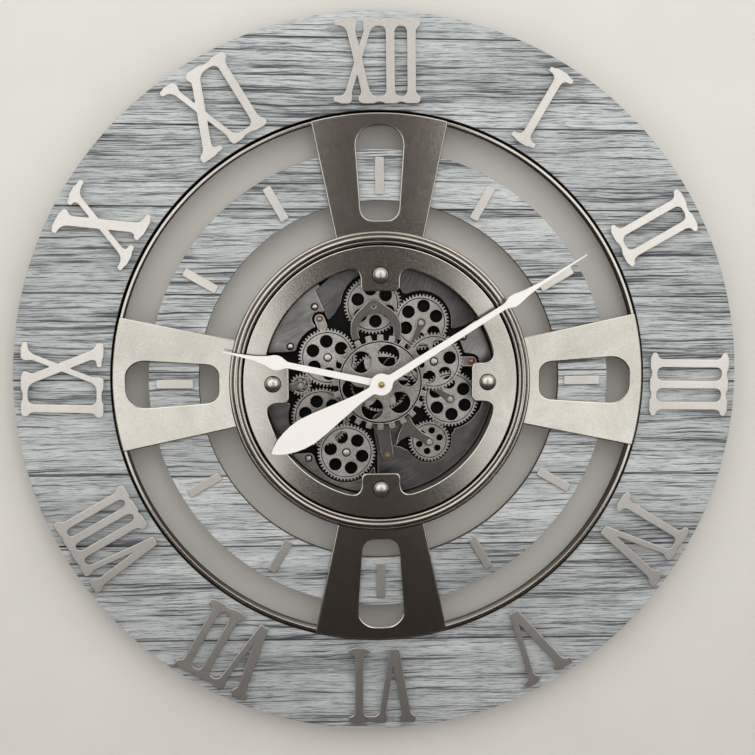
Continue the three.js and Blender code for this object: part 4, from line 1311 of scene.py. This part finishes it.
@dataclass
class CentreWheels:
    """The coarse wheel in front and the fine wheel behind it, which turn together on one sleeve."""

    bore_r: float = 4.6
    coarse_teeth: int = 24
    coarse_tip: float = 52.8
    coarse_root: float = 46.4
    groove_r: float = 44.2
    hole_r: float = 12.0
    hole_ring: float = 30.8
    hole_turn: float = 13.0

    def coarse(self) -> Shell:
        """Square teeth round a flat rim, then a groove painted dark as shade, then a raised web with six
        large holes.
        """
        back, front = depths("centre_coarse_wheel")
        share = np.array([-0.29, -0.27, -0.23, -0.20, 0.20, 0.23, 0.27, 0.29])
        low, high = self.coarse_root, self.coarse_tip
        height = np.array([low, low + 0.5, high - 0.5, high, high, high - 0.5, low + 0.5, low])
        angle = (np.arange(self.coarse_teeth)[:, None] + share[None]).ravel() * TURN / self.coarse_teeth
        radius = np.tile(height, self.coarse_teeth)
        rim = np.column_stack([radius * np.cos(angle), radius * np.sin(angle)])
        first = math.radians(self.hole_turn)
        holes = [circle(self.hole_ring * math.cos(first + i * TURN / 6),
                        self.hole_ring * math.sin(first + i * TURN / 6),
                        self.hole_r, 48, True) for i in range(6)]
        bore = circle(0, 0, self.bore_r, 32, True)
        return merged([
            slab([rim, circle(0, 0, self.groove_r + 1.3, 144, True)], back, front, 0.35, 3),
            # Painted fully dark: painted shade in the groove between rim and web.
            slab([circle(0, 0, self.groove_r + 2.3, 144), *holes, bore], back, front - 2.6, 0.2, 2, soot=1.0),
            slab([circle(0, 0, self.groove_r, 144), *holes, bore], back + 0.5, front, 0.45, 3),
            revolve(rounded([(self.bore_r, front - 0.5, 0.1), (9, front - 0.5, 0.3), (8, front + 0.0, 0.3),
                             (self.bore_r, front + 0.0, 0.1)], 3), 48),
        ])

    def fine(self, frame: dict[str, Any]) -> Shell:
        """Fine teeth, eye-shaped openings between the spokes, and the sleeve."""
        back, front = depths("centre_fine_wheel")
        wheel = Wheel("centre_fine_wheel", 52)
        plate_front = back + 3
        eyes = []
        for i in range(6):
            lens = overlap(disc(20, 9, 15), disc(20, -9, 15))
            loop = contour(lens, (0.0, -16.0), (40.0, 16.0), 0.5, 1.0)[0]
            eyes.append(turned_by(loop, i * TURN / 6)[::-1])
        bore = circle(0, 0, self.bore_r, 32, True)
        mesh = frame["nodes"]["centre_fine_wheel"].data
        place = np.empty(len(mesh.vertices) * 3)
        mesh.vertices.foreach_get("co", place)
        x, z = place.reshape(-1, 3)[:, 0] / MM, place.reshape(-1, 3)[:, 2] / MM
        tips = np.arctan2(z, x)[np.hypot(x, z) > 33.4]
        phase = float(np.angle(np.mean(np.exp(52j * tips)))) / 52
        sleeve = revolve(rounded([(self.bore_r, back, 0.1), (7, back, 0.2), (7, front, 0.2),
                                  (self.bore_r, front, 0.1)], 2), 40)
        return merged([slab([wheel.rim(52), *eyes, bore], back, plate_front, 0.18, 2), sleeve]).spun(-phase)

    def build(self, frame: dict[str, Any]) -> None:
        """Makes both wheels."""
        make_piece("coarse_centre_wheel", self.coarse(), GEAR_STEEL, "centre_wheels", "centre_coarse_wheel")
        make_piece("fine_centre_wheel", self.fine(frame), PALE_STEEL, "centre_wheels", "centre_fine_wheel")


@dataclass
class GearWell:
    """The deep-drawn well, a near-black sheet on its floor that is painted shade, the sculpted pads on its
    floor, and the small fittings on them.
    """

    inner: float = 129.5
    outer: float = 131.5
    flange: float = 150.0
    floor_front: float = 24.0
    low_pad: float = 28.0
    high_pad: float = 32.0
    swoosh: tuple[Point, ...] = ((-71, 100), (-65, 106), (-45, 124), (-21, 126), (-22, 115), (-31, 109.5),
                                 (-37.5, 101),
                                 (-42.5, 86), (-50, 73.5), (-56.5, 67), (-62, 80.5))
    corner: tuple[Point, ...] = ((23, 99), (23.5, 112), (27, 124), (80, 124), (112, 72), (96, 62), (84, 58),
                                 (60, 62),
                                 (48, 66), (36, 98), (30, 97))
    lower_right: tuple[Point, ...] = ((118, -22), (135, -22), (100, -120), (0, -140), (-2, -84), (6, -76),
                                      (16.5, -74.5),
                                      (24, -76.5), (36, -83), (50, -92), (84, -60), (86, -54), (113, -36))
    lower_left: tuple[Point, ...] = ((-98, -82), (-84, -81), (-78, -80.5), (-73, -84), (-60, -100),
                                     (-36, -108), (-6, -96),
                                     (0, -140), (-70, -130), (-115, -88))
    small_left: tuple[Point, ...] = ((-122, -24), (-100, -24), (-96, -40), (-98, -60), (-118, -60),
                                     (-135, -30))
    upper_left: tuple[Point, ...] = ((-135, 31), (-118, 32.6), (-104, 33), (-93, 34.2), (-60, 40), (-56, 62),
                                     (-62, 80.5),
                                     (-71, 100.4), (-66, 104.5), (-75, 130), (-135, 100))
    right: tuple[Point, ...] = ((90, 44), (96, 58), (112, 70), (135, 60), (135, 18), (113, 19), (104, 29.5),
                                (95, 30.5))
    base: tuple[Point, ...] = ((-6, -40), (34, -36), (30, -56), (18, -74), (-2, -84), (-6, -60))

    def pad(self, name: str, area: Area, back: float, front: float, finish: Finish,
            edge: float = 0.9) -> None:
        """Makes one pad: the contour of its top face, with walls that curve down outside it."""
        size = self.inner + 2
        loops = contour(grown(area, -edge), (-size, -size), (size, size), 0.7, 1.2)
        loops = [loop for loop in loops if len(loop) > 14]
        make_piece(name, slab(loops, back, front, edge, 4, skirt=edge), finish, "frame")

    def build(self, frame: dict[str, Any], wheels: Sequence[Wheel]) -> None:
        """Makes the well, the painted-shade sheet, the pads and the small fittings.

        Args:
            frame: the loaded frame.
            wheels: the wheels that need a pocket.
        """
        back, front = depths("gear_well")
        profile = rounded([
            (0, back, 0), (self.outer, back, 1.5), (self.outer, front - 2, 0.4),
            (self.flange, front - 2, 0.4),
            (self.flange, front, 0.4), (self.inner, front, 1.2), (self.inner, self.floor_front, 1.0),
            (0, self.floor_front, 0),
        ], 4)
        make_piece("drawn_gear_well", revolve(profile, 240), WALL_STEEL, "frame", "gear_well")
        ground = self.floor_front + 0.2
        # A near-black sheet over the well floor: painted shade for the deep gaps between the pads and behind
        # the wheel holes.
        make_piece("painted_shade_floor", slab([circle(0, 0, self.inner - 1.5, 160)], ground - 0.15, ground, 0.05, 1),
                   PAINTED_SHADE_FLOOR, "frame")
        floor = disc(0, 0, self.inner - 1.6)
        pockets = [disc(*w.centre(frame),
                        w.module * w.teeth / 2 + (4.2 if w.teeth > 40 else 2.6)) for w in wheels]
        pockets.append(disc(0, 0, 55))
        lugs = [disc(-66.2, 69.1, 8.2), disc(103.2, 20.6, 8.2)]
        open_floor = cut(floor, *pockets)
        clear = cut(open_floor, *lugs)
        self.pad("swoosh_pad", overlap(polygon(*self.swoosh), clear), ground, self.low_pad, DARK)
        self.pad("corner_pad", overlap(grown(polygon(*self.corner), 1), clear), ground, self.low_pad, DARK)
        self.pad("lower_right_pad", overlap(grown(polygon(*self.lower_right), 1), clear), ground,
                 self.low_pad, DARK)
        self.pad("small_left_pad", overlap(polygon(*self.small_left), clear), ground, self.low_pad, DARK)
        self.pad("upper_left_pad", overlap(grown(polygon(*self.upper_left), 0.5), clear), ground,
                 self.high_pad, PAD)
        self.pad("right_pad", overlap(grown(polygon(*self.right), 0.5), clear), ground, self.high_pad, PAD)
        self.pad("lower_left_pad", overlap(polygon(*self.lower_left), clear), ground, self.low_pad + 1.5, PAD)
        self.pad("base_plate", polygon(*self.base), ground, self.low_pad - 0.5, DARK, 0.5)
        for name, x, z, level in (("one", -71.5, 83.0, self.high_pad), ("two", -98.8, 39.2, self.high_pad),
                                  ("three", -79.7, -86.8, self.low_pad + 1.5),
                                  ("four", 93.4, 48.4, self.high_pad)):
            ring = [(0, level, 0), (4.3, level, 0.1), (4.3, level + 0.25, 0.1), (0, level + 0.25, 0)]
            # The collar is painted near black: a painted contact shadow round the screw's foot.
            collar = revolve(rounded(ring, 2), 32, -1.0)
            screw = merged([collar, dome(3.4, 2.3, level + 0.25, 0.4, 32)])
            make_piece(f"dome_screw_{name}", screw.moved(x, 0, z), POLISHED, "frame")
        for name, (x, z), (dx, dz) in (("upper", (-66.2, 69.1), (3.0, -8.0)),
                                       ("right", (103.2, 20.6), (-9.0, 0.0))):
            area = bar((x, z), (x + dx, z + dz), 5.6)
            inner = bar((x, z), (x + dx, z + dz), 4.2)
            low, high = (x - 16, z - 16), (x + 16, z + 16)
            wall = cut_slab(cut(area, inner), low, high, ground, self.high_pad + 0.6, 0.5, 0.3, 0.6)
            base = cut_slab(grown(inner, 0.5), low, high, ground, self.low_pad, 0.2, 0.3, 0.6)
            make_piece(f"{name}_lug", merged([wall, base]), GEAR_STEEL, "frame")
            peg = merged([post(3.2, self.low_pad, self.high_pad - 1.6, 0.5),
                          dome(2.4, 1.6, self.high_pad - 1.8, 0.4)])
            make_piece(f"{name}_peg", peg.moved(x, 0, z), COPPER, "frame")


@dataclass
class Bridges:
    """The arch bridge, the finger bridges and the lower strap, each on its posts."""

    screw_r: float = 2.5

    def plate(self, node: str, area: Area, low: Point, high: Point, posts: Sequence[Point],
              pivots: Sequence[Point], thick: float = 2.0) -> None:
        """Makes one bridge.

        Args:
            node: the node that it stands for.
            area: its outline.
            low: lower corner of its extent.
            high: upper corner of its extent.
            posts: centres of its posts.
            pivots: centres of the arbors that it steadies.
            thick: thickness of the plate.
        """
        back, front = depths(node)
        proud = 1.2 if node in ("bridge_small", "lower_strap", "bridge_idler") else 0.0
        face = front - proud
        bored = cut(area, *[disc(x, z, 2.5) for x, z in pivots])
        shells = [cut_slab(bored, low, high, face - thick, face, 0.7, 0.35, 0.7)]
        shells += [post(2.2, back, face - 0.3).moved(x, 0, z) for x, z in posts]
        shells += [cheese_head(self.screw_r, face - 0.1, face + 0.9).moved(x, 0, z) for x, z in posts]
        make_piece(f"{node}_plate", merged(shells), BRIDGE_STEEL, "frame", node)

    def build(self, frame: dict[str, Any], wheels: dict[str, Wheel]) -> None:
        """Makes the six bridges."""
        top = wheels["wheel_top"].centre(frame)
        ring = cut(disc(-4.5, 58, 28), disc(-4.5, 56.5, 19.5),
                   polygon((-60, 39.5), (-4.5, 52), (51, 39.5), (51, 0), (-60, 0)))
        knob = blended(disc(*top, 5.6), overlap(ring, lambda x, z: 48 - z), 12)
        arch = cut(union(ring, knob), disc(-4.5, 56.5, 19.5))
        self.plate("arch_bridge", arch, (-40.0, 34.0), (32.0, 94.0), [(-25.5, 43.5), (16.5, 43.5)], [top])
        finger = {
            "bridge_top_right": ("wheel_top_right", [(33.5, 33.0)], 4.6),
            "bridge_right": ("wheel_right", [(50.0, -1.0)], 4.4),
            "bridge_idler": ("idler_pinion", [(-106.0, -6.0)], 4.6),
        }
        for node, (wheel, route, half) in finger.items():
            pivot = wheels[wheel].centre(frame)
            chain = [pivot, *route]
            xs, zs = [p[0] for p in chain], [p[1] for p in chain]
            low, high = (min(xs) - 8, min(zs) - 8), (max(xs) + 8, max(zs) + 8)
            area = blended(path(chain, half - 0.9), disc(*pivot, half), 5)
            self.plate(node, area, low, high, [route[-1]], [pivot], 1.8)
        pivot = wheels["wheel_small"].centre(frame)
        swan = cut(polygon((30, -38), (34, -40), (38, -48), (47.5, -57.5), (57, -62.5), (61, -66), (61, -71),
                           (57, -74),
                           (52, -73.5), (47, -69), (40, -64.5), (31, -63.5), (24, -67), (17, -74.5),
                           (20, -60)))
        area = union(grown(swan, -0.5), disc(*pivot, 5.0))
        self.plate("bridge_small", area, (10.0, -82.0), (68.0, -32.0), [(30.0, -46.0)], [pivot], 1.8)
        strap = blended(bar((3, -48), (8.4, -83), 7.0), disc(2, -46, 11), 8)
        self.plate("lower_strap", strap, (-12.0, -95.0), (22.0, -34.0), [(3.0, -46.0)], [], 1.8)
        level = depths("lower_strap")[1] - 1.2
        screw = merged([cheese_head(2.6, level - 0.2, level + 1.0), post(1.2, level - 4, level + 0.2)])
        make_piece("brass_strap_screw", screw.moved(8.4, 0, -83.0), BRASS, "frame")


@dataclass
class Hands:
    """The flat white hands and the brass nut that holds them.

    Attributes:
        minute_at: the minute hand's degrees clockwise from twelve.
        hour_at: the hour hand's.
        minute_hub: radius of the minute hand's hub.
        hour_hub: radius of the hour hand's.
        thick: thickness of the sheet.
        neck: radius of the blend between blade and hub.
    """

    minute_at: float = 58.1
    hour_at: float = 282.1
    minute_hub: float = 12.0
    hour_hub: float = 10.5
    thick: float = 1.5
    neck: float = 3.5

    def minute(self) -> Shell:
        """Spade-tipped blade and leaf tail, each a width along the hand worked out by interpolation."""
        front = depths("minute_hand")[1]
        along = np.array([-141, -136, -128, -118, -108, -96, -80, -55, -30, -8, 8, 100, 158, 163, 166, 169,
                          174,
                          186, 205, 235, 264.0])
        half = np.array([0.5, 4.6, 9.0, 12.4, 14.6, 15.4, 13.6, 9.4, 5.4, 3.9, 4.2, 3.5, 3.0, 4.4, 6.0, 6.6,
                         6.2,
                         3.8, 1.9, 1.2, 0.5])
        return self.blade(along, half, self.minute_hub, self.minute_at, front)

    def hour(self) -> Shell:
        """A straight blade with a rounded shoulder and a long taper."""
        front = depths("hour_hand")[1]
        along = np.array([0, 8, 60, 104, 108, 112, 116, 120, 128, 140, 158, 176.0])
        half = np.array([3.6, 3.8, 3.5, 3.3, 5.2, 7.4, 8.2, 7.8, 5.0, 2.6, 1.4, 0.5])
        return self.blade(along, half, self.hour_hub, self.hour_at, front)

    def blade(self, along: np.ndarray, half: np.ndarray, hub: float, at: float, front: float) -> Shell:
        """A flat hand: half its width along its length, joined to a round hub.

        Args:
            along: distances from the axis.
            half: half the width at each distance.
            hub: radius of the hub.
            at: degrees clockwise from twelve.
            front: depth of its front face.

        Returns:
            The skin, turned to its hour.
        """
        def strip(x: np.ndarray, z: np.ndarray) -> np.ndarray:
            """Distance across to the blade's edge."""
            wide = np.interp(z, along, half)
            return np.maximum(np.abs(x) - wide, np.maximum(along[0] - z, z - along[-1]))

        area = blended(strip, disc(0, 0, hub), self.neck)
        low, high = (-hub - 6.0, float(along[0]) - 2 if along[0] < 0 else -hub - 2), (hub + 6.0,
                                                                                      float(along[-1]) + 2)
        return cut_slab(area, low, high, front - self.thick, front, 0.3, 0.35, 0.8).spun(math.radians(at))

    def build(self) -> None:
        """Makes the hands with their tube and arbor, and the nut."""
        back, front = depths("minute_hand")
        arbor = post(1.5, back, front - 0.5, 0.2)
        make_piece("white_minute_hand", merged([self.minute(), arbor]), HAND_WHITE, "minute_hand",
                   "minute_hand")
        back, front = depths("hour_hand")
        tube = revolve(rounded([(1.95, back, 0.1), (2.5, back, 0.1), (2.5, front - 0.5, 0.1),
                                (1.95, front - 0.5, 0.1)], 2), 40)
        make_piece("white_hour_hand", merged([self.hour(), tube]), HAND_WHITE, "hour_hand", "hour_hand")
        back, front = depths("hand_nut")
        collar = revolve(rounded([(0, back, 0), (3.4, back, 0.3), (3.4, back + 0.9, 0.3),
                                  (0, back + 0.9, 0)], 3), 40)
        nut = merged([collar, post(2.5, back + 0.5, front - 1.0, 0.5), dome(1.4, 1.0, front - 1.1, 0.2)])
        make_piece("brass_hand_nut", nut, BRASS, "minute_hand", "hand_nut")


# ---------------------------------------------------------------- housing


@dataclass
class Housing:
    """The drum, the back cover and what is reached from behind."""

    drum_r: float = 162.0
    wall: float = 2.0
    lip_r: float = 140.0

    def build(self, frame: dict[str, Any]) -> None:
        """Makes a smooth drum and gives the rear pieces their finishes."""
        back, front = depths("housing_drum")
        profile = rounded([
            (self.drum_r - self.wall, back, 0.3), (self.drum_r, back, 0.3), (self.drum_r, front, 1.2),
            (self.lip_r, front, 0.5), (self.lip_r, front - self.wall, 0.5),
            (self.drum_r - self.wall, front - self.wall, 0.5),
        ], 4)
        make_piece("rolled_drum", revolve(profile, 300), BLACK_PAINT, "frame", "housing_drum")
        coat(frame, BLACK_PAINT, "back_cover")
        coat(frame, ZINC, "hanger_plate", "gear_motor")
        coat(frame, BRASS, "bush_nut")
        coat(frame, PLASTIC, "movement_case", "battery_box", "battery_door", "power_switch", "set_knob")


# ---------------------------------------------------------------- stage


@dataclass
class Stage:
    """Wall, lights and camera."""

    eye: tuple[float, float, float] = (-0.0781, -1.3516, 0.1553)
    yaw: float = 3.286
    pitch: float = 6.540
    roll: float = -0.226
    focal_share: float = 1195.1 / 755.0

    def camera(self) -> None:
        """A camera at the eye, turned by yaw, pitch and roll from straight at the wall."""
        data = bpy.data.cameras.new("camera")
        data.sensor_width = 36.0
        data.lens = 36.0 * self.focal_share
        data.clip_start, data.clip_end = 0.05, 50.0
        camera = bpy.data.objects.new("camera", data)
        bpy.context.scene.collection.objects.link(camera)
        yaw, pitch, roll = (math.radians(v) for v in (self.yaw, self.pitch, self.roll))
        base = Matrix(((1, 0, 0), (0, 0, -1), (0, 1, 0)))
        about_up = Matrix(((math.cos(yaw), 0, -math.sin(yaw)), (0, 1, 0), (math.sin(yaw), 0, math.cos(yaw))))
        about_side = Matrix(((1, 0, 0), (0, math.cos(pitch), -math.sin(pitch)),
                             (0, math.sin(pitch), math.cos(pitch))))
        about_view = Matrix(((math.cos(roll), -math.sin(roll), 0), (math.sin(roll), math.cos(roll), 0),
                             (0, 0, 1)))
        seen = about_view @ about_side @ about_up @ base
        axes = Matrix((seen[0], -seen[1], -seen[2])).transposed()
        camera.matrix_world = Matrix.Translation(self.eye) @ axes.to_4x4()
        bpy.context.scene.camera = camera

    def panel(self, name: str, across: Point, up: Point, radiance: float,
              colour: Colour) -> bpy.types.Object:
        """A soft rectangular light in the camera's plane, facing the wall.

        Args:
            name: its name.
            across: its left and right edges.
            up: its lower and upper edges.
            radiance: its brightness, in watts for each square metre and steradian.
            colour: its colour.

        Returns:
            The light.
        """
        data = bpy.data.lights.new(name, "AREA")
        data.shape = "RECTANGLE"
        data.size, data.size_y = across[1] - across[0], up[1] - up[0]
        data.energy = radiance * math.pi * data.size * data.size_y
        data.color = colour
        lamp = bpy.data.objects.new(name, data)
        bpy.context.scene.collection.objects.link(lamp)
        lamp.location = (sum(across) / 2, self.eye[1], sum(up) / 2)
        lamp.rotation_euler = (math.pi / 2, 0, 0)
        lamp.visible_camera = False
        return lamp

    def world(self) -> None:
        """Room light: pale above, dim straight ahead of the dial and near the floor."""
        world = bpy.data.worlds.new("room")
        bpy.context.scene.world = world
        world.use_nodes = True
        graph = Graph(world.node_tree)
        world.node_tree.nodes.clear()
        axis = graph.add("SeparateXYZ", {0: graph.add("TexCoord").outputs["Generated"]}).outputs
        height = graph.math("MULTIPLY_ADD", axis[2], 0.5, 0.5)
        tint = graph.ramp(height, [(0.30, (0.036, 0.029, 0.027)), (0.50, (0.070, 0.052, 0.045)),
                                   (0.62, (0.11, 0.080, 0.068)), (0.70, (0.52, 0.46, 0.43)),
                                   (1.0, (1.15, 1.1, 1.05))])
        sky = graph.add("Background", {0: tint, 1: 1.0})
        graph.add("OutputWorld", {0: sky.outputs[0]})

    def wall(self) -> None:
        """A pale plastered wall behind the clock, which is seen from the front only."""
        mesh = bpy.data.meshes.new("wall")
        half, low = 4.0, -0.95
        mesh.from_pydata([(-half, 0.0006, low), (half, 0.0006, low), (half, 0.0006, half),
                          (-half, 0.0006, half)],
                         [], [(0, 1, 2, 3)])
        finish = Paint("wall_plaster", "wall", (0.60, 0.605, 0.575), 0.8, grain=260.0, bite=0.0002,
                       drift=0.05)
        material = finish.material()
        graph = Graph(material.node_tree)
        shader = next(n for n in material.node_tree.nodes if n.type == "BSDF_PRINCIPLED")
        out = next(n for n in material.node_tree.nodes if n.type == "OUTPUT_MATERIAL")
        clear = graph.add("BsdfTransparent")
        behind = graph.add("NewGeometry").outputs["Backfacing"]
        mixed = graph.add("MixShader", {0: behind, 1: shader.outputs[0], 2: clear.outputs[0]})
        material.node_tree.links.new(mixed.outputs[0], out.inputs[0])
        mesh.materials.append(material)
        wall = bpy.data.objects.new("wall", mesh)
        floor_mesh = bpy.data.meshes.new("floor")
        floor_mesh.from_pydata([(-half, 0.0, low), (-half, -half, low), (half, -half, low), (half, 0.0, low)],
                               [], [(0, 1, 2, 3)])
        floor_mesh.materials.append(Paint("floor_pale", "floor", (0.6, 0.58, 0.56), 0.8).material())
        floor = bpy.data.objects.new("floor", floor_mesh)
        for thing in (wall, floor):
            bpy.context.scene.collection.objects.link(thing)
        floor.visible_glossy = False
        wall.visible_diffuse = False
        wall.visible_glossy = False
        wall.visible_shadow = False

    def build(self) -> None:
        """Sets the stage."""
        self.camera()
        self.world()
        self.wall()
        white = (1.0, 0.985, 0.96)
        self.panel("left_window", (-2.6, -0.14), (-0.42, 1.7), 1.3, white)
        self.panel("front_fill", (-0.14, 0.27), (0.0, 1.4), 4.2, white).visible_glossy = False
        self.panel("right_window", (0.27, 2.6), (-0.42, 1.7), 1.3, white)
        bpy.context.scene.view_settings.view_transform = "Standard"


def main() -> None:
    logging.basicConfig(level=logging.INFO, format="%(name)s: %(message)s")
    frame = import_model()
    Stage().build()
    Dial().build()
    Arms().build()
    Bezel().build()
    Numerals().build()
    wheels = {wheel.node: wheel for wheel in (
        Wheel("wheel_upper_left", 50, thick=3.0, finish=PALE_STEEL, hole_turn=32),
        Wheel("wheel_upper_right", 50, thick=3.0, pinion=25, finish=PALE_STEEL, hole_turn=12),
        Wheel("wheel_left", 51, hole_turn=45),
        Wheel("wheel_lower_left", 50, thick=3.0, pinion=26, finish=PALE_STEEL, hole_turn=47),
        Wheel("wheel_right", 49, hole_turn=32, finish=PALE_STEEL),
        Wheel("wheel_small", 36, 3.8, 12.0, hole_turn=20),
        Wheel("wheel_top_right", 48, pinion=40, hole_turn=19, finish=PALE_STEEL),
        Wheel("wheel_top", 50, hole_turn=35.5),
        Wheel("idler_pinion", 18, 1.4, 6.0, thick=8.5),
    )}
    for wheel in wheels.values():
        wheel.build(frame)
    CentreWheels().build(frame)
    GearWell().build(frame, [w for w in wheels.values() if w.teeth > 20])
    Bridges().build(frame, wheels)
    Hands().build()
    Housing().build(frame)


if __name__ == "__main__":
    main()
